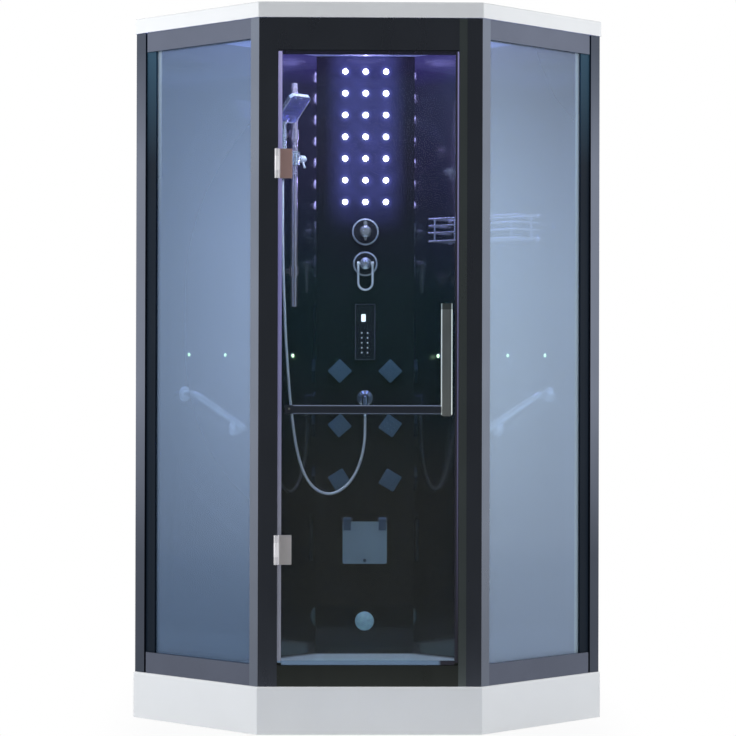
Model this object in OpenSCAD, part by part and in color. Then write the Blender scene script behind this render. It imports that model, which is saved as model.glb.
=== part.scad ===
// Corner shower cabin with a cut-off front, a glass door and a column of water fittings.
// Millimetres. Z is up, the door faces -Y and the room corner is at +Y.
// X and Y are zero at the middle of the overall box, and Z is zero on the floor.

/* [Cabin] */
// Height from the floor to the top of the roof
cabin_h = 2150; // [2100:5:2250]
// Length of each side that stands against a wall
wall_side = 1020; // [1000:5:1080]
// Width of the front side that holds the door
door_side = 660; // [650:5:700]
// How far the frame stands in from the edge of the tray
frame_inset = 5; // [3:1:8]

/* [Tray] */
// Height of the tray's rim
tray_h = 143; // [135:1:160]
// Thickness of the moulded tray
tray_wall = 5; // [4:0.5:6]
// Width of the rim under the frame
rim_w = 62; // [58:1:72]
// Depth of the basin below the rim
basin_drop = 73; // [65:1:78]
// How far the basin wall slopes in on its way down
basin_draft = 22; // [10:1:30]
// Radius of the basin's corners
basin_r = 70; // [50:5:90]
// Radius of the tray's and the roof's outer edges
edge_r = 6; // [3:0.5:9]
// Gap between the skirt and the floor
skirt_gap = 3; // [1:0.5:6]
// Depth of the tray's lip on its two wall sides
back_lip = 60; // [50:1:75]
// Radius of one anti-slip stud
stud_r = 8; // [5:0.5:10]
// Height of the anti-slip studs
stud_h = 1; // [0.5:0.1:1.5]
// Distance between the anti-slip studs
stud_pitch = 56; // [50:1:70]
// Distance of their pattern in front of the middle
stud_front = 120; // [110:2:126]

/* [Tray frame] */
// Side of the square steel tube
tube = 25; // [20:1:30]
// Wall of the square steel tube
tube_wall = 2; // [1.5:0.5:3]
// Distance of each long tube from the middle
long_tube_x = 150; // [130:5:170]
// Distance of the front feet from the middle
front_foot_x = 250; // [220:5:270]
// Distance of the side feet from the middle
side_foot_x = 420; // [380:5:450]
// Distance of the front feet behind the front of the tray
front_foot_y = 96; // [85:1:110]
// Radius of a levelling foot's pad
foot_r = 25; // [20:1:30]
// Thickness of a levelling foot's pad
foot_t = 8; // [6:0.5:10]
// Radius of a levelling foot's screw
screw_r = 6; // [5:0.5:7]

/* [Drain] */
// Distance of the drain in front of the column
drain_back = 180; // [160:5:220]
// Radius of the drain's flange
flange_r = 55; // [52:1:60]
// Radius of the waste body
waste_r = 44; // [40:0.5:46]
// Outer radius of the outlet spigot
spigot_r = 20; // [18:0.5:21]
// Length of the outlet spigot
spigot_l = 40; // [35:1:55]

/* [Roof] */
// Height of the roof's visible band
roof_h = 46; // [44:1:60]
// Thickness of the moulded roof
roof_wall = 4; // [3:0.5:5]
// Thickness of the ceiling panel
ceiling_t = 4; // [3:0.5:5]

/* [Frame] */
// Depth of the aluminium profiles
frame_t = 30; // [28:1:34]
// Wall of the aluminium profiles
profile_wall = 2; // [1.5:0.1:2.5]
// Depth of the grooves that hold the glass
groove = 12; // [10:0.5:13]
// Visible width of each wall post
wall_post_w = 42; // [38:1:48]
// Width of the recessed channel beside it
channel_w = 42; // [36:1:52]
// Joint between a wall post and the side rails
rail_joint = 8; // [4:1:12]
// How far the channel stands back
channel_set = 6; // [4:0.5:7]
// Front width of the post that carries the hinges
hinge_post_w = 56; // [50:1:60]
// Front width of the post on the latch side
latch_post_w = 45; // [42:1:50]
// Width of the closing jamb beside the latch post
strike_w = 23; // [18:1:28]
// Width of a corner post's face on the side panel
post_side_w = 35; // [34:1:40]
// Height of the rail above the door
header_h = 95; // [80:1:110]
// Height of the rail below the door
sill_h = 62; // [55:1:75]
// Height of the rails above the side panes
side_top_h = 60; // [50:1:75]
// Height of the rails below the side panes
side_bottom_h = 63; // [55:1:75]
// Thickness of the side panes
pane_t = 5; // [4:0.5:6]
// Thickness of the back walls
back_t = 6; // [5:0.5:7]

/* [Door] */
// Thickness of the door glass
door_t = 6; // [5:0.5:8]
// Door glass, set back from the frame's face
door_set = 4; // [3:0.5:5]
// Gap between the hinge post and the glass
hinge_gap = 7; // [6.5:0.5:9]
// Gap between the glass and the closing jamb
latch_gap = 6; // [5:0.5:8]
// Gap under the door glass
bottom_gap = 8; // [7:0.5:10]
// Gap over the door glass
top_gap = 4; // [3.5:0.5:6]
// Height of one door hinge
hinge_h = 86; // [74:1:92]
// Width of the hinge's plate on the glass
clamp_w = 35; // [30:1:45]
// Thickness of the hinge's outer plate
clamp_t = 8; // [7:0.5:9]
// Thickness of the hinge's inner plate
back_plate_t = 5; // [4:0.5:6]
// Radius of the hinge's knuckles
knuckle_r = 6.5; // [6:0.1:7]
// Radius of the hinge's pin
hinge_pin_r = 2.5; // [2:0.1:3]
// Distance of each hinge from its end of the glass
hinge_from_end = 330; // [200:5:400]
// Height of the towel bar's axis
bar_z = 955; // [900:5:1000]
// Length of the upright grip
grip_l = 329; // [280:1:380]
// Width of the upright grip
grip_w = 33; // [28:1:38]
// Height of the towel bar
bar_h = 26; // [20:1:28]
// Thickness of the grip and the towel bar
bar_t = 12; // [10:0.5:14]
// Clear space between the glass and the bars
bar_reach = 38; // [32:1:45]
// Grip's axis from the latch edge of the glass
grip_edge = 32; // [26:1:40]
// Towel bar's end boss from the glass's hinge edge
boss_edge = 28; // [22:0.5:36]
// Radius of the stand-offs between glass and bars
standoff_r = 8; // [7:0.5:9]

/* [Column] */
// Width of the fittings column
column_w = 322; // [316:1:340]
// Thickness of the column's panel
column_t = 5; // [4:0.5:6]
// Length of the column's wings towards the room corner
wing_l = 90; // [70:1:110]
// Thickness of the strip that the back walls lean on
rebate_t = 2; // [1.5:0.5:3]
// Overlap of that strip with the back walls
rebate_w = 30; // [20:1:40]
// Height of the diverter's axis
diverter_z = 1527; // [1520:1:1535]
// Distance of the mixer's axis below the diverter's
mixer_drop = 105; // [95:1:120]
// Control panel's middle below the mixer's axis
panel_drop = 224; // [200:1:240]
// Width of the control panel
panel_w = 66; // [60:1:80]
// Height of the control panel
panel_h = 184; // [170:1:200]
// Side of the display's window, and half again as high
display_w = 17; // [14:0.5:20]
// Hose outlet's axis below the control panel's middle
outlet_under = 217; // [214:1:218]
// Radius of the hose outlet's cover plate
outlet_r = 27; // [24:0.5:33]
// Height of the upper jets
jet_top_z = 1070; // [1060:1:1075]
// Distance between two rows of jets
jet_pitch = 179; // [176:1:182]
// Distance of each row of jets from the middle
jet_x = 83; // [80:1:88]
// Height of the foot rest's hinge
rest_z = 584; // [575:1:600]
// Height of the steam outlet's axis
steam_z = 249; // [240:1:270]

/* [Lights] */
// Rows of lamps in the column
lamp_rows = 7; // [5:1:7]
// Distance between two lamps in a row
lamp_pitch_x = 67; // [60:1:75]
// Bottom row above the diverter's cover plate
lamp_clear = 53.5; // [40:0.5:80]
// Distance of the top row below the ceiling
lamp_top = 50; // [45:1:70]
// Radius of a lamp's bezel
lamp_r = 13; // [11:0.5:15]
// Radius of a lamp's body
lamp_body_r = 9.8; // [8:0.1:10]
// Length of a lamp's body behind its bezel
lamp_body_l = 16; // [12:1:18]
// Radius of a wall lamp's bezel
wall_lamp_r = 10; // [8:0.5:12]
// Height of the wall lamps
wall_lamp_z = 1119; // [1100:1:1140]
// Radius of the ceiling light
ceiling_light_r = 62; // [55:1:75]
// Distance of the ceiling light in front of the column
ceiling_light_back = 102; // [100:1:120]

/* [Valves] */
// Radius of the diverter's cover plate
diverter_plate_r = 44.5; // [40:0.5:48]
// Radius of the mixer's cover plate
mixer_plate_r = 41; // [38:0.5:44]
// Radius of the mixer's hub
mixer_hub_r = 19; // [17:0.5:22]
// Radius of the spindles that the handles turn on
spindle_r = 8; // [6:0.5:9]
// Length of the mixer's loop below its pivot
loop_l = 90; // [80:1:98]
// Radius of the loop's rod
loop_rod_r = 3.5; // [3:0.1:4]
// Radius of the valve bodies behind the column
valve_r = 26; // [22:0.5:27]
// Length of the mixer's body
mixer_l = 140; // [120:1:142]
// Outer radius of the hot and cold inlets
inlet_r = 10.5; // [8:0.5:12]
// Length of the hot and cold inlets
inlet_l = 30; // [25:1:40]
// Distance of each inlet from the middle
inlet_x = 50; // [40:1:55]

/* [Pipes] */
// Outer radius of the pipes
pipe_r = 7.5; // [6:0.1:7.5]
// Depth of the pipes behind the column's face
pipe_depth = 36; // [36:0.5:38]

/* [Hand shower] */
// Distance of the riser rail from the column's edge
rail_a = 161; // [150:1:180]
// Distance of the riser rail from the wall
rail_n = 60; // [56:1:70]
// Radius of the riser rail
rail_r = 11; // [9:0.5:12]
// Riser rail's upper end below the ceiling
rail_top = 108; // [90:1:130]
// Length of the riser rail
rail_l = 720; // [680:1:760]
// Distance of the lower bracket from the rail's lower end
rail_foot_l = 115; // [80:1:120]
// Distance of the upper bracket from the rail's upper end
rail_head_l = 166; // [140:1:170]
// Height of a bracket's ring round the rail
ring_h = 30; // [24:1:34]
// Upward travel of the slider
slider_up = 35; // [25:1:60]
// Height of the slider's body
slider_h = 44; // [36:1:46]
// Distance from the rail to the hand shower's handle
cradle_a = 51; // [46:1:60]
// Radius of the handle in its cradle
handle_r = 12; // [11:0.2:13]
// Length of the hand shower's head
head_l = 110; // [90:1:120]
// Width of the hand shower's head
head_w = 88; // [70:1:100]
// Thickness of the hand shower's head
head_t = 15; // [12:0.5:18]
// Angle of the head to its handle
head_tilt = 45; // [30:1:60]
// Radius of the hose
hose_r = 4.5; // [4:0.5:7]

/* [Jets] */
// Side of a jet's square face
jet_w = 57; // [50:1:60]
// Thickness of a jet's square face
jet_t = 10; // [9:0.5:13]
// Radius of the stub that a jet turns on
jet_stub_r = 7; // [6:0.5:8]
// Turn of the jets from the upper left to the lower right
jet_turns = [45, 45, 41, 55, 32, 59];

/* [Foot rest] */
// Width of the foot rest
rest_w = 145; // [130:1:155]
// Length of the foot rest
rest_l = 138; // [120:1:145]
// Thickness of the foot rest
rest_t = 8; // [6:0.5:10]
// Distance of each foot rest hinge from the middle
rest_hinge_x = 58; // [50:1:60]
// Distance of the foot rest's hinge from the column
rest_hinge_n = 15; // [14:0.5:20]

/* [Steam] */
// Radius of the steam outlet's dome
steam_r = 31; // [27:0.5:35]
// Width of the steam generator
boiler_w = 170; // [150:1:178]
// Height of the steam generator
boiler_h = 250; // [200:5:280]
// Depth of the steam generator
boiler_t = 58; // [50:1:60]

/* [Rack and handles] */
// Distance of the rack from the column's edge
rack_a = 160; // [150:1:200]
// Length of the rack
rack_l = 372; // [350:1:390]
// Depth of the rack
rack_n = 105; // [90:1:120]
// Height of the rack's base
rack_z = 1486; // [1470:1:1500]
// Height of the rack's lowest rail above its base
rack_lift = 27; // [24:1:32]
// Distance between two rails of the rack
rack_pitch = 22.5; // [20:0.5:26]
// Radius of the rack's rails
rack_r = 3; // [2.5:0.1:4]
// Number of wires in the rack's base
rack_wires = 11; // [7:1:15]
// Grab handle's lower end from the column's edge
grab_a = 367; // [350:1:385]
// Level distance between a grab handle's ends
grab_run = 210; // [200:1:230]
// Height between a grab handle's ends
grab_rise = 110; // [90:1:120]
// Height of a grab handle's lower end
grab_z = 886; // [860:1:920]
// Distance of a grab handle from the wall
grab_n = 50; // [45:1:60]
// Radius of a grab handle's tube
grab_r = 11; // [9:0.5:13]

/* [Roof fittings] */
// Radius of the rain head
rain_r = 110; // [100:1:125]
// Thickness of the rain head
rain_t = 10; // [8:0.5:14]
// Distance of the rain head behind the front of the tray
rain_back = 450; // [430:5:480]
// Distance of the fan from the middle
fan_x = 215; // [205:1:230]
// Inner radius of the fan's duct
fan_r = 55; // [50:1:58]
// Number of fan blades
fan_blades = 7; // [5:1:9]
// Length of the roof's vent slots
vent_l = 80; // [60:5:90]
// Width of the roof's vent slots
vent_w = 8; // [6:0.5:10]

/* [Fit] */
// Clearance round glass in its grooves
glass_fit = 0.3; // [0.2:0.05:0.5]
// Radial clearance of turning and sliding pieces
run_fit = 0.05; // [0.03:0.01:0.09]
// Gap between pieces that move past each other
move_gap = 0.4; // [0.3:0.05:0.6]

/* [Hidden] */
$fn = 48;

// Colours
WHITE = [0.93, 0.94, 0.95];
DARK = [0.16, 0.17, 0.18];
GREY = [0.45, 0.49, 0.54];
BLACK = [0.05, 0.06, 0.07];
CHROME = [0.8, 0.82, 0.85];
GLASS = [0.55, 0.65, 0.78, 0.4];
BLUE = [0.3, 0.4, 0.52];
STEEL = [0.6, 0.62, 0.64];
BRASS = [0.75, 0.62, 0.35];
LAMP = [0.85, 0.85, 1];

// Plan of the cabin
t22 = tan(22.5);
half_x = wall_side / sqrt(2);
plan_depth = wall_side * sqrt(2) - door_side / 2;
handle_out = bar_reach + bar_t - door_set - frame_inset;
rear_y = (plan_depth + handle_out) / 2;
front_y = rear_y - plan_depth;
end_y = rear_y - half_x;
panel_len = wall_side - door_side / sqrt(2);
wall_off = frame_inset + frame_t;
inner_y = rear_y - wall_off * sqrt(2);
column_y = inner_y - column_w / 2;
column_a = column_w / sqrt(2);

// Levels
basin_z = tray_h - basin_drop;
ceiling_z = cabin_h - roof_h;
frame_l = ceiling_z - tray_h;
sill_z = tray_h + sill_h;
header_z = ceiling_z - header_h;
tube_z = basin_z - tray_wall - tube;

// Door
open_left = -door_side / 2 + frame_inset * t22 + hinge_post_w;
open_right = door_side / 2 - frame_inset * t22 - latch_post_w - strike_w;
door_left = open_left + hinge_gap;
door_right = open_right - latch_gap;
door_low = sill_z + bottom_gap;
door_high = header_z - top_gap;
glass_y = front_y + frame_inset + door_set;
hinge_x = open_left - 3;
hinge_y = front_y + frame_inset - knuckle_r - move_gap;
hinge_zs = [door_low + hinge_from_end, door_high - hinge_from_end];
grip_x = door_right - grip_edge;
boss_x = door_left + boss_edge;
grip_low = bar_z - bar_h / 2 - 6;
leaf_t = 2.5;
stop_set = door_set + door_t + 4;
stop_t = 3;
flange_h = bottom_gap + 4;
cap_h = 17;
seal_lip = 1.2;
seal_w = 5;

// Fittings
mixer_z = diverter_z - mixer_drop;
panel_z = mixer_z - panel_drop;
outlet_z = panel_z - outlet_under;
rail_z = ceiling_z - rail_top - rail_l;
rail_brackets = [rail_z + rail_foot_l, rail_z + rail_l - rail_head_l];
slider_end_gap = 4;
slider_z = rail_brackets[1] - ring_h / 2 - slider_end_gap - slider_up - slider_h / 2;
lamp_low_z = diverter_z + diverter_plate_r + lamp_clear;
drain_y = column_y - drain_back;
rain_y = front_y + rain_back;
light_y = column_y - ceiling_light_back;
pipe_y = column_y + pipe_depth;
roof_pipe_z = cabin_h - roof_wall - pipe_r - 10;
jet_tail = 21;
jet_sides = [for (i = [0:5]) i % 2 == 0 ? -1 : 1];
jet_zs = [for (i = [0:5]) jet_top_z - floor(i / 2) * jet_pitch];
outlet_n = 28;
outlet_drop = 33;
nut_l = 30;
handle_nut_l = 20;
handle_drop = 54;
handset_a = wall_off + column_a + rail_a + cradle_a;
handset_x = (handset_a - wall_off - rail_n) / sqrt(2);
handset_y = rear_y - (handset_a + wall_off + rail_n) / sqrt(2);
tube_end = 20;
front_foot = front_y + front_foot_y;
rear_foot = drain_y + 2 * waste_r;
feet = [
  [-front_foot_x, front_foot], [front_foot_x, front_foot], [-side_foot_x, 0], [side_foot_x, 0],
  [-long_tube_x, rear_foot], [long_tube_x, rear_foot], [0, 0]
];

// Route of the hose, from nut to nut
hose_route = [
  [0, 338, 918], [0, 338, 885], [-1, 337, 850], [-6, 334, 812], [-16, 329, 772],
  [-33, 321, 733], [-57, 310, 700], [-87, 296, 678], [-119, 281, 671], [-150, 266, 680],
  [-178, 252, 704], [-199, 240, 740], [-214, 230, 784], [-225, 221, 832], [-233, 213, 884],
  [-240, 206, 942], [-246, 200, 1004], [-251, 195, 1070], [-256, 190, 1140],
  [-260, 186, 1214], [-263, 182, 1290], [-266, 178, 1368], [-268, 175, 1446],
  [-269, 174, 1524], [-269, 174, 1602], [-269, 174, 1645], [-269, 174, 1680]
];

// Helpers for outlines
function unit(v) = v / norm(v);
function turned(v, a) = [v.x * cos(a) - v.y * sin(a), v.x * sin(a) + v.y * cos(a)];

// Fillet of radius r at corner b of the outline a, b, c
function corner_arc(a, b, c, r, n) =
  let (u = unit(a - b), v = unit(c - b))
  let (half = acos(u * v) / 2, centre = b + unit(u + v) * r / sin(half))
  let (start = b + u * r / tan(half) - centre)
  let (sweep = (cross(u, v) < 0 ? 1 : -1) * (180 - 2 * half))
  [for (i = [0:n]) centre + turned(start, sweep * i / n)];

function rounded(p, r, n = 6) =
  let (m = len(p))
  [for (i = [0:m - 1]) each corner_arc(p[(i + m - 1) % m], p[i], p[(i + 1) % m], r, n)];

function box_points(w, h) = [[-w / 2, -h / 2], [w / 2, -h / 2], [w / 2, h / 2], [-w / 2, h / 2]];

// Outline of the tray and roof, drawn in by o
function plan_outline(o) = [
  [-door_side / 2 + o * t22, front_y + o],
  [door_side / 2 - o * t22, front_y + o],
  [half_x - o * sqrt(2), end_y],
  [0, rear_y - o * sqrt(2)],
  [-half_x + o * sqrt(2), end_y]
];

// Outline of the basin, drawn in by g
function basin_outline(g) =
  let (rim = rim_w + g, ledge = wall_off + 27 + g)
  let (back_y = column_y - 25 - g, reach = rear_y - ledge * sqrt(2))
  let (end = [half_x - (rim + ledge) / sqrt(2), end_y + (rim - ledge) / sqrt(2)])
  [
    [-door_side / 2 + rim * t22, front_y + rim],
    [door_side / 2 - rim * t22, front_y + rim],
    end,
    [reach - back_y, back_y],
    [back_y - reach, back_y],
    [-end.x, end.y]
  ];

module prism(p, z0, z1) {
  translate([0, 0, z0])
    linear_extrude(z1 - z0)
      polygon(p);
}

// A rod between two points
module rod(a, b, r) {
  d = b - a;
  translate(a)
    rotate([0, acos(d.z / norm(d)), atan2(d.y, d.x)])
      cylinder(r = r, h = norm(d));
}

// A pipe through points, with round corners
module pipe(points, r) {
  for (i = [0:len(points) - 2])
    rod(points[i], points[i + 1], r);
  for (i = [1:1:len(points) - 2])
    translate(points[i])
      sphere(r);
}

// Places on the cabin
module on_side(side) {
  if (side < 0)
    children();
  else
    mirror([1, 0, 0])
      children();
}

// X runs along the wall from the room corner, Y inwards
module wall_frame(side) {
  on_side(side)
    translate([0, rear_y, 0])
      rotate(225)
        children();
}

// X runs along the side panel from its wall end, Y inwards
module panel_frame(side) {
  on_side(side)
    translate([-half_x, end_y, 0])
      rotate(-45)
        children();
}

// On the column's face, Z outwards and Y up
module on_column(x, z) {
  translate([x, column_y, z])
    rotate([90, 0, 0])
      children();
}

// On a back wall at a distance a from the column's edge, Z inwards
module on_wall(side, a, z) {
  wall_frame(side)
    translate([wall_off + column_a + a, wall_off, z])
      rotate([-90, 0, 0])
        children();
}

// Round the riser rail's axis: X along the wall, Y inwards
module at_rail(a, z) {
  wall_frame(-1)
    translate([wall_off + column_a + rail_a + a, wall_off + rail_n, z])
      children();
}

// Extrudes a section drawn in Y and Z along X
module along_x(x0, x1) {
  translate([x0, 0, 0])
    rotate([90, 0, 90])
      linear_extrude(x1 - x0)
        children();
}

// Tray
module rounded_block(z0, z1, round_top = true) {
  hull()
    for (p = plan_outline(edge_r))
      translate([p.x, p.y, 0]) {
        translate([0, 0, z0])
          cylinder(r = edge_r, h = 1, $fn = 32);
        translate([0, 0, z1 - edge_r])
          sphere(edge_r, $fn = 32);
      }
}

module basin_shape(grow, z0, z1) {
  hull() {
    prism(rounded(basin_outline(-grow), basin_r + grow), z1 - 1, z1);
    prism(rounded(basin_outline(basin_draft - grow), basin_r + grow), z0, z0 + 1);
  }
}

module tray() {
  color(WHITE) {
    difference() {
      union() {
        difference() {
          rounded_block(skirt_gap, tray_h);
          prism(plan_outline(tray_wall), 0, tray_h - tray_wall);
        }
        basin_shape(tray_wall, basin_z - tray_wall, tray_h - 1);
      }
      basin_shape(0, basin_z, tray_h + 2);
      translate([0, drain_y, 0])
        cylinder(r = waste_r + 1, h = tray_h);
      for (side = [-1, 1])
        wall_frame(side)
          translate([back_lip, -1, 0])
            cube([wall_side - 2 * back_lip, tray_wall + 2, tray_h - back_lip]);
    }
    studs();
  }
}

// Anti-slip studs on the basin floor
module studs() {
  for (i = [-4:4], j = [-3:4])
    translate([i * stud_pitch, j * stud_pitch - stud_front, basin_z])
      cylinder(r = stud_r, h = stud_h);
}

module tray_frame() {
  color(STEEL)
    difference() {
      tray_bars(0);
      tray_bars(tube_wall);
    }
}

module tray_bars(inset) {
  s = tube - 2 * inset;
  over = inset > 0 ? 1 : 0;
  translate([0, 0, tube_z + inset]) {
    for (x = long_tube_x * [-1, 1])
      translate([x - s / 2, front_foot - over, 0])
        cube([s, rear_foot + tube_end - front_foot + 2 * over, s]);
    for (t = [[side_foot_x, 0], [front_foot_x, front_foot]])
      translate([-t.x - tube_end - over, t.y - s / 2, 0])
        cube([2 * (t.x + tube_end + over), s, s]);
  }
}

module levelling_feet() {
  color(BLACK)
    for (p = feet)
      translate([p.x, p.y, 0]) {
        cylinder(r1 = foot_r, r2 = foot_r - 4, h = foot_t);
        cylinder(r = screw_r, h = tube_z);
        translate([0, 0, tube_z - 6])
          cylinder(r = screw_r + 4, h = 6, $fn = 6);
      }
}

spigot_z = 36;
spigot_collar = 5;

module drain_waste() {
  color(CHROME)
    translate([0, drain_y, 0])
      difference() {
        union() {
          translate([0, 0, basin_z])
            cylinder(r = flange_r, h = 3);
          translate([0, 0, 12])
            cylinder(r = waste_r, h = basin_z - 11);
          translate([0, 0, spigot_z])
            rotate([-90, 0, 0]) {
              cylinder(r = spigot_r + 4, h = waste_r + spigot_collar);
              cylinder(r = spigot_r, h = waste_r + spigot_collar + spigot_l);
            }
        }
        translate([0, 0, 16])
          cylinder(r = waste_r - 4, h = basin_z);
        translate([0, 0, spigot_z])
          rotate([-90, 0, 0])
            cylinder(r = spigot_r - 3, h = waste_r + spigot_collar + spigot_l + 1);
      }
}

module drain_grate() {
  color(CHROME)
    translate([0, drain_y, basin_z + 3])
      difference() {
        union() {
          cylinder(r1 = flange_r - 2, r2 = flange_r - 6, h = 4);
          translate([0, 0, -10])
            cylinder(r = waste_r - 4 - glass_fit, h = 10);
        }
        translate([0, 0, -11])
          cylinder(r = waste_r - 8, h = 11);
        for (a = [0:30:330])
          rotate(a)
            translate([14, -2, -1])
              cube([18, 4, 6]);
        cylinder(r = 5, h = 5);
      }
}

// Roof
module roof_cover() {
  color(WHITE)
    difference() {
      rounded_block(ceiling_z, cabin_h);
      prism(plan_outline(roof_wall), ceiling_z - 1, cabin_h - roof_wall);
      for (i = [-3:3])
        translate([fan_x + (i * 7 - 2) * vent_w / 4, rain_y - vent_l / 2, cabin_h - roof_wall - 1])
          cube([vent_w, vent_l, roof_wall + 2]);
    }
}

module ceiling_panel() {
  color(WHITE)
    difference() {
      prism(plan_outline(roof_wall + glass_fit), ceiling_z, ceiling_z + ceiling_t);
      translate([0, light_y, ceiling_z - 1])
        cylinder(r = ceiling_light_r - 7 + glass_fit, h = ceiling_t + 2);
      translate([0, rain_y, ceiling_z - 1])
        cylinder(r = 10 + glass_fit, h = ceiling_t + 2);
      translate([fan_x, rain_y, ceiling_z - 1])
        cylinder(r = fan_r + 5 + glass_fit, h = ceiling_t + 2);
      translate([0, pipe_y, ceiling_z - 1])
        cylinder(r = pipe_r + 2, h = ceiling_t + 2);
    }
}

light_dome = 150;

module ceiling_light() {
  color(LAMP)
    translate([0, light_y, ceiling_z]) {
      // Domed lens in a flat bezel
      intersection() {
        translate([0, 0, light_dome])
          sphere(light_dome + 12);
        translate([0, 0, -12])
          cylinder(r = ceiling_light_r - 6, h = 12);
      }
      translate([0, 0, -4])
        cylinder(r = ceiling_light_r, h = 4);
      // Sealed body with its cable gland
      translate([0, 0, -1])
        cylinder(r = ceiling_light_r - 7, h = 10);
      translate([20, 0, 8])
        cylinder(r = 6, h = 12, $fn = 6);
    }
}

module rain_head() {
  color(CHROME)
    translate([0, rain_y, ceiling_z]) {
      difference() {
        translate([0, 0, -rain_t])
          cylinder(r = rain_r, h = rain_t);
        translate([0, 0, -rain_t - 1])
          cylinder(r = rain_r - 6, h = 3);
      }
      cylinder(r = 10, h = roof_pipe_z - 10 - ceiling_z);
      for (ring = [1:4], k = [0:6 * ring - 1])
        rotate(k * 60 / ring)
          translate([ring * (rain_r - 14) / 4, 0, -rain_t])
            cylinder(r1 = 1.4, r2 = 2.4, h = 3);
    }
}

// Fan
module fan_housing() {
  color(WHITE)
    translate([fan_x, rain_y, ceiling_z]) {
      difference() {
        union() {
          translate([0, 0, -4])
            cylinder(r = fan_r + 17, h = 4);
          translate([0, 0, -4])
            cylinder(r = fan_r + 5, h = 38);
        }
        translate([0, 0, -1])
          cylinder(r = fan_r, h = 40);
        for (ring = [1:3])
          difference() {
            translate([0, 0, -5])
              cylinder(r = ring * fan_r / 3.4 + 5, h = 5);
            translate([0, 0, -6])
              cylinder(r = ring * fan_r / 3.4 - 5, h = 7);
            for (a = [0, 90])
              rotate(a)
                translate([-fan_r, -2, -6])
                  cube([2 * fan_r, 4, 7]);
          }
      }
      for (a = [0:120:240])
        rotate(a)
          translate([0, -3, 30])
            cube([fan_r + 1, 6, 4]);
      translate([0, 0, 26])
        cylinder(r = 16, h = 8);
      translate([0, 0, 8])
        cylinder(r = 3, h = 20);
    }
}

module fan_rotor() {
  color(GREY)
    translate([fan_x, rain_y, ceiling_z + 6])
      difference() {
        union() {
          cylinder(r = 17, h = 19);
          for (k = [0:fan_blades - 1])
            rotate(k * 360 / fan_blades)
              translate([15, 0, 9.5])
                rotate([35, 0, 0])
                  translate([0, -12, -1])
                    cube([fan_r - 18, 24, 2]);
        }
        translate([0, 0, 2 - run_fit])
          cylinder(r = 3 + run_fit, h = 20);
      }
}

// Column
module column_section() {
  w = [1, 1] / sqrt(2);
  o = [-1, 1] / sqrt(2);
  edge = [-column_w / 2, column_y];
  left = [
    edge,
    edge + o * back_t,
    edge + o * back_t - w * rebate_w,
    edge + o * (back_t + rebate_t) - w * rebate_w,
    edge + o * (back_t + rebate_t) + w * rebate_w,
    edge + o * back_t + w * rebate_w,
    edge + o * back_t + w * wing_l,
    edge + w * wing_l,
    edge + w * column_t * sqrt(2)
  ];
  polygon(concat(left, [for (i = [len(left) - 1:-1:0]) [-left[i].x, left[i].y]]));
}

module column_panel() {
  rim = panel_rim - 2 * glass_fit;
  color(BLACK)
    difference() {
      translate([0, 0, tray_h])
        linear_extrude(frame_l)
          column_section();
      for (z = lamp_zs(), i = [-1:1])
        column_hole(i * lamp_pitch_x, z, lamp_body_r + glass_fit);
      for (z = [diverter_z, mixer_z])
        column_hole(0, z, spindle_r + 6);
      column_hole(0, outlet_z, 10 + glass_fit);
      column_hole(0, steam_z, 10 + glass_fit);
      for (i = [0:5])
        column_hole(jet_sides[i] * jet_x, jet_zs[i], 12 + glass_fit);
      translate([0, column_y + column_t / 2, panel_z])
        cube([panel_w - rim, column_t + 2, panel_h - rim], center = true);
    }
}

function lamp_zs() =
  let (high = ceiling_z - lamp_top)
  [for (i = [0:lamp_rows - 1]) high - i * (high - lamp_low_z) / (lamp_rows - 1)];

module column_hole(x, z, r) {
  on_column(x, z)
    translate([0, 0, -column_t - 1])
      cylinder(r = r, h = column_t + 2);
}

// Back walls
wall_lamp_as = [110, 409, 563];

module back_wall(side) {
  x0 = wall_off + column_a + glass_fit;
  color(BLACK)
    difference() {
      wall_frame(side)
        translate([x0, wall_off - back_t, tray_h])
          cube([wall_side - wall_off + groove - glass_fit - x0, back_t, frame_l]);
      for (a = wall_lamp_as)
        on_wall(side, a, wall_lamp_z)
          translate([0, 0, -back_t - 1])
            cylinder(r = wall_lamp_r - 4 + glass_fit, h = back_t + 2);
    }
}

module left_back_wall() {
  back_wall(-1);
}

module right_back_wall() {
  back_wall(1);
}

// Frame
module wall_post_section() {
  w = wall_post_w;
  t = frame_t;
  p = profile_wall;
  slot_0 = wall_off - frame_inset - back_t - glass_fit;
  slot_1 = wall_off - frame_inset + glass_fit;
  difference() {
    square([w, t]);
    translate([p, p])
      square([w - 2 * p, t - groove - 2 * p]);
    translate([slot_0, t - groove])
      square([slot_1 - slot_0, groove + 1]);
    translate([p, t - groove])
      square([slot_0 - 2 * p, groove - p]);
    translate([slot_1 + p, t - groove])
      square([w - slot_1 - 2 * p, groove - p]);
  }
}

module wall_posts() {
  color(GREY)
    for (side = [-1, 1])
      panel_frame(side)
        translate([frame_inset, frame_inset, tray_h])
          linear_extrude(frame_l)
            wall_post_section();
}

// Along a side panel
channel_x0 = frame_inset + wall_post_w;
channel_x1 = channel_x0 + channel_w;
rail_x1 = panel_len - frame_inset * t22 - post_side_w;
pane_y = frame_inset + (frame_t - pane_t) / 2;

// Outline of a corner post with a front face of width w
function post_outline(w) =
  let (k = [-door_side / 2 + frame_inset * t22, front_y + frame_inset])
  let (back = [-1, 1] / sqrt(2), inward = [1, 1] / sqrt(2))
  let (e = k + back * post_side_w)
  [k, k + [w, 0], k + [w, frame_t], k + [frame_t * t22, frame_t], e + inward * frame_t, e];

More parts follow.
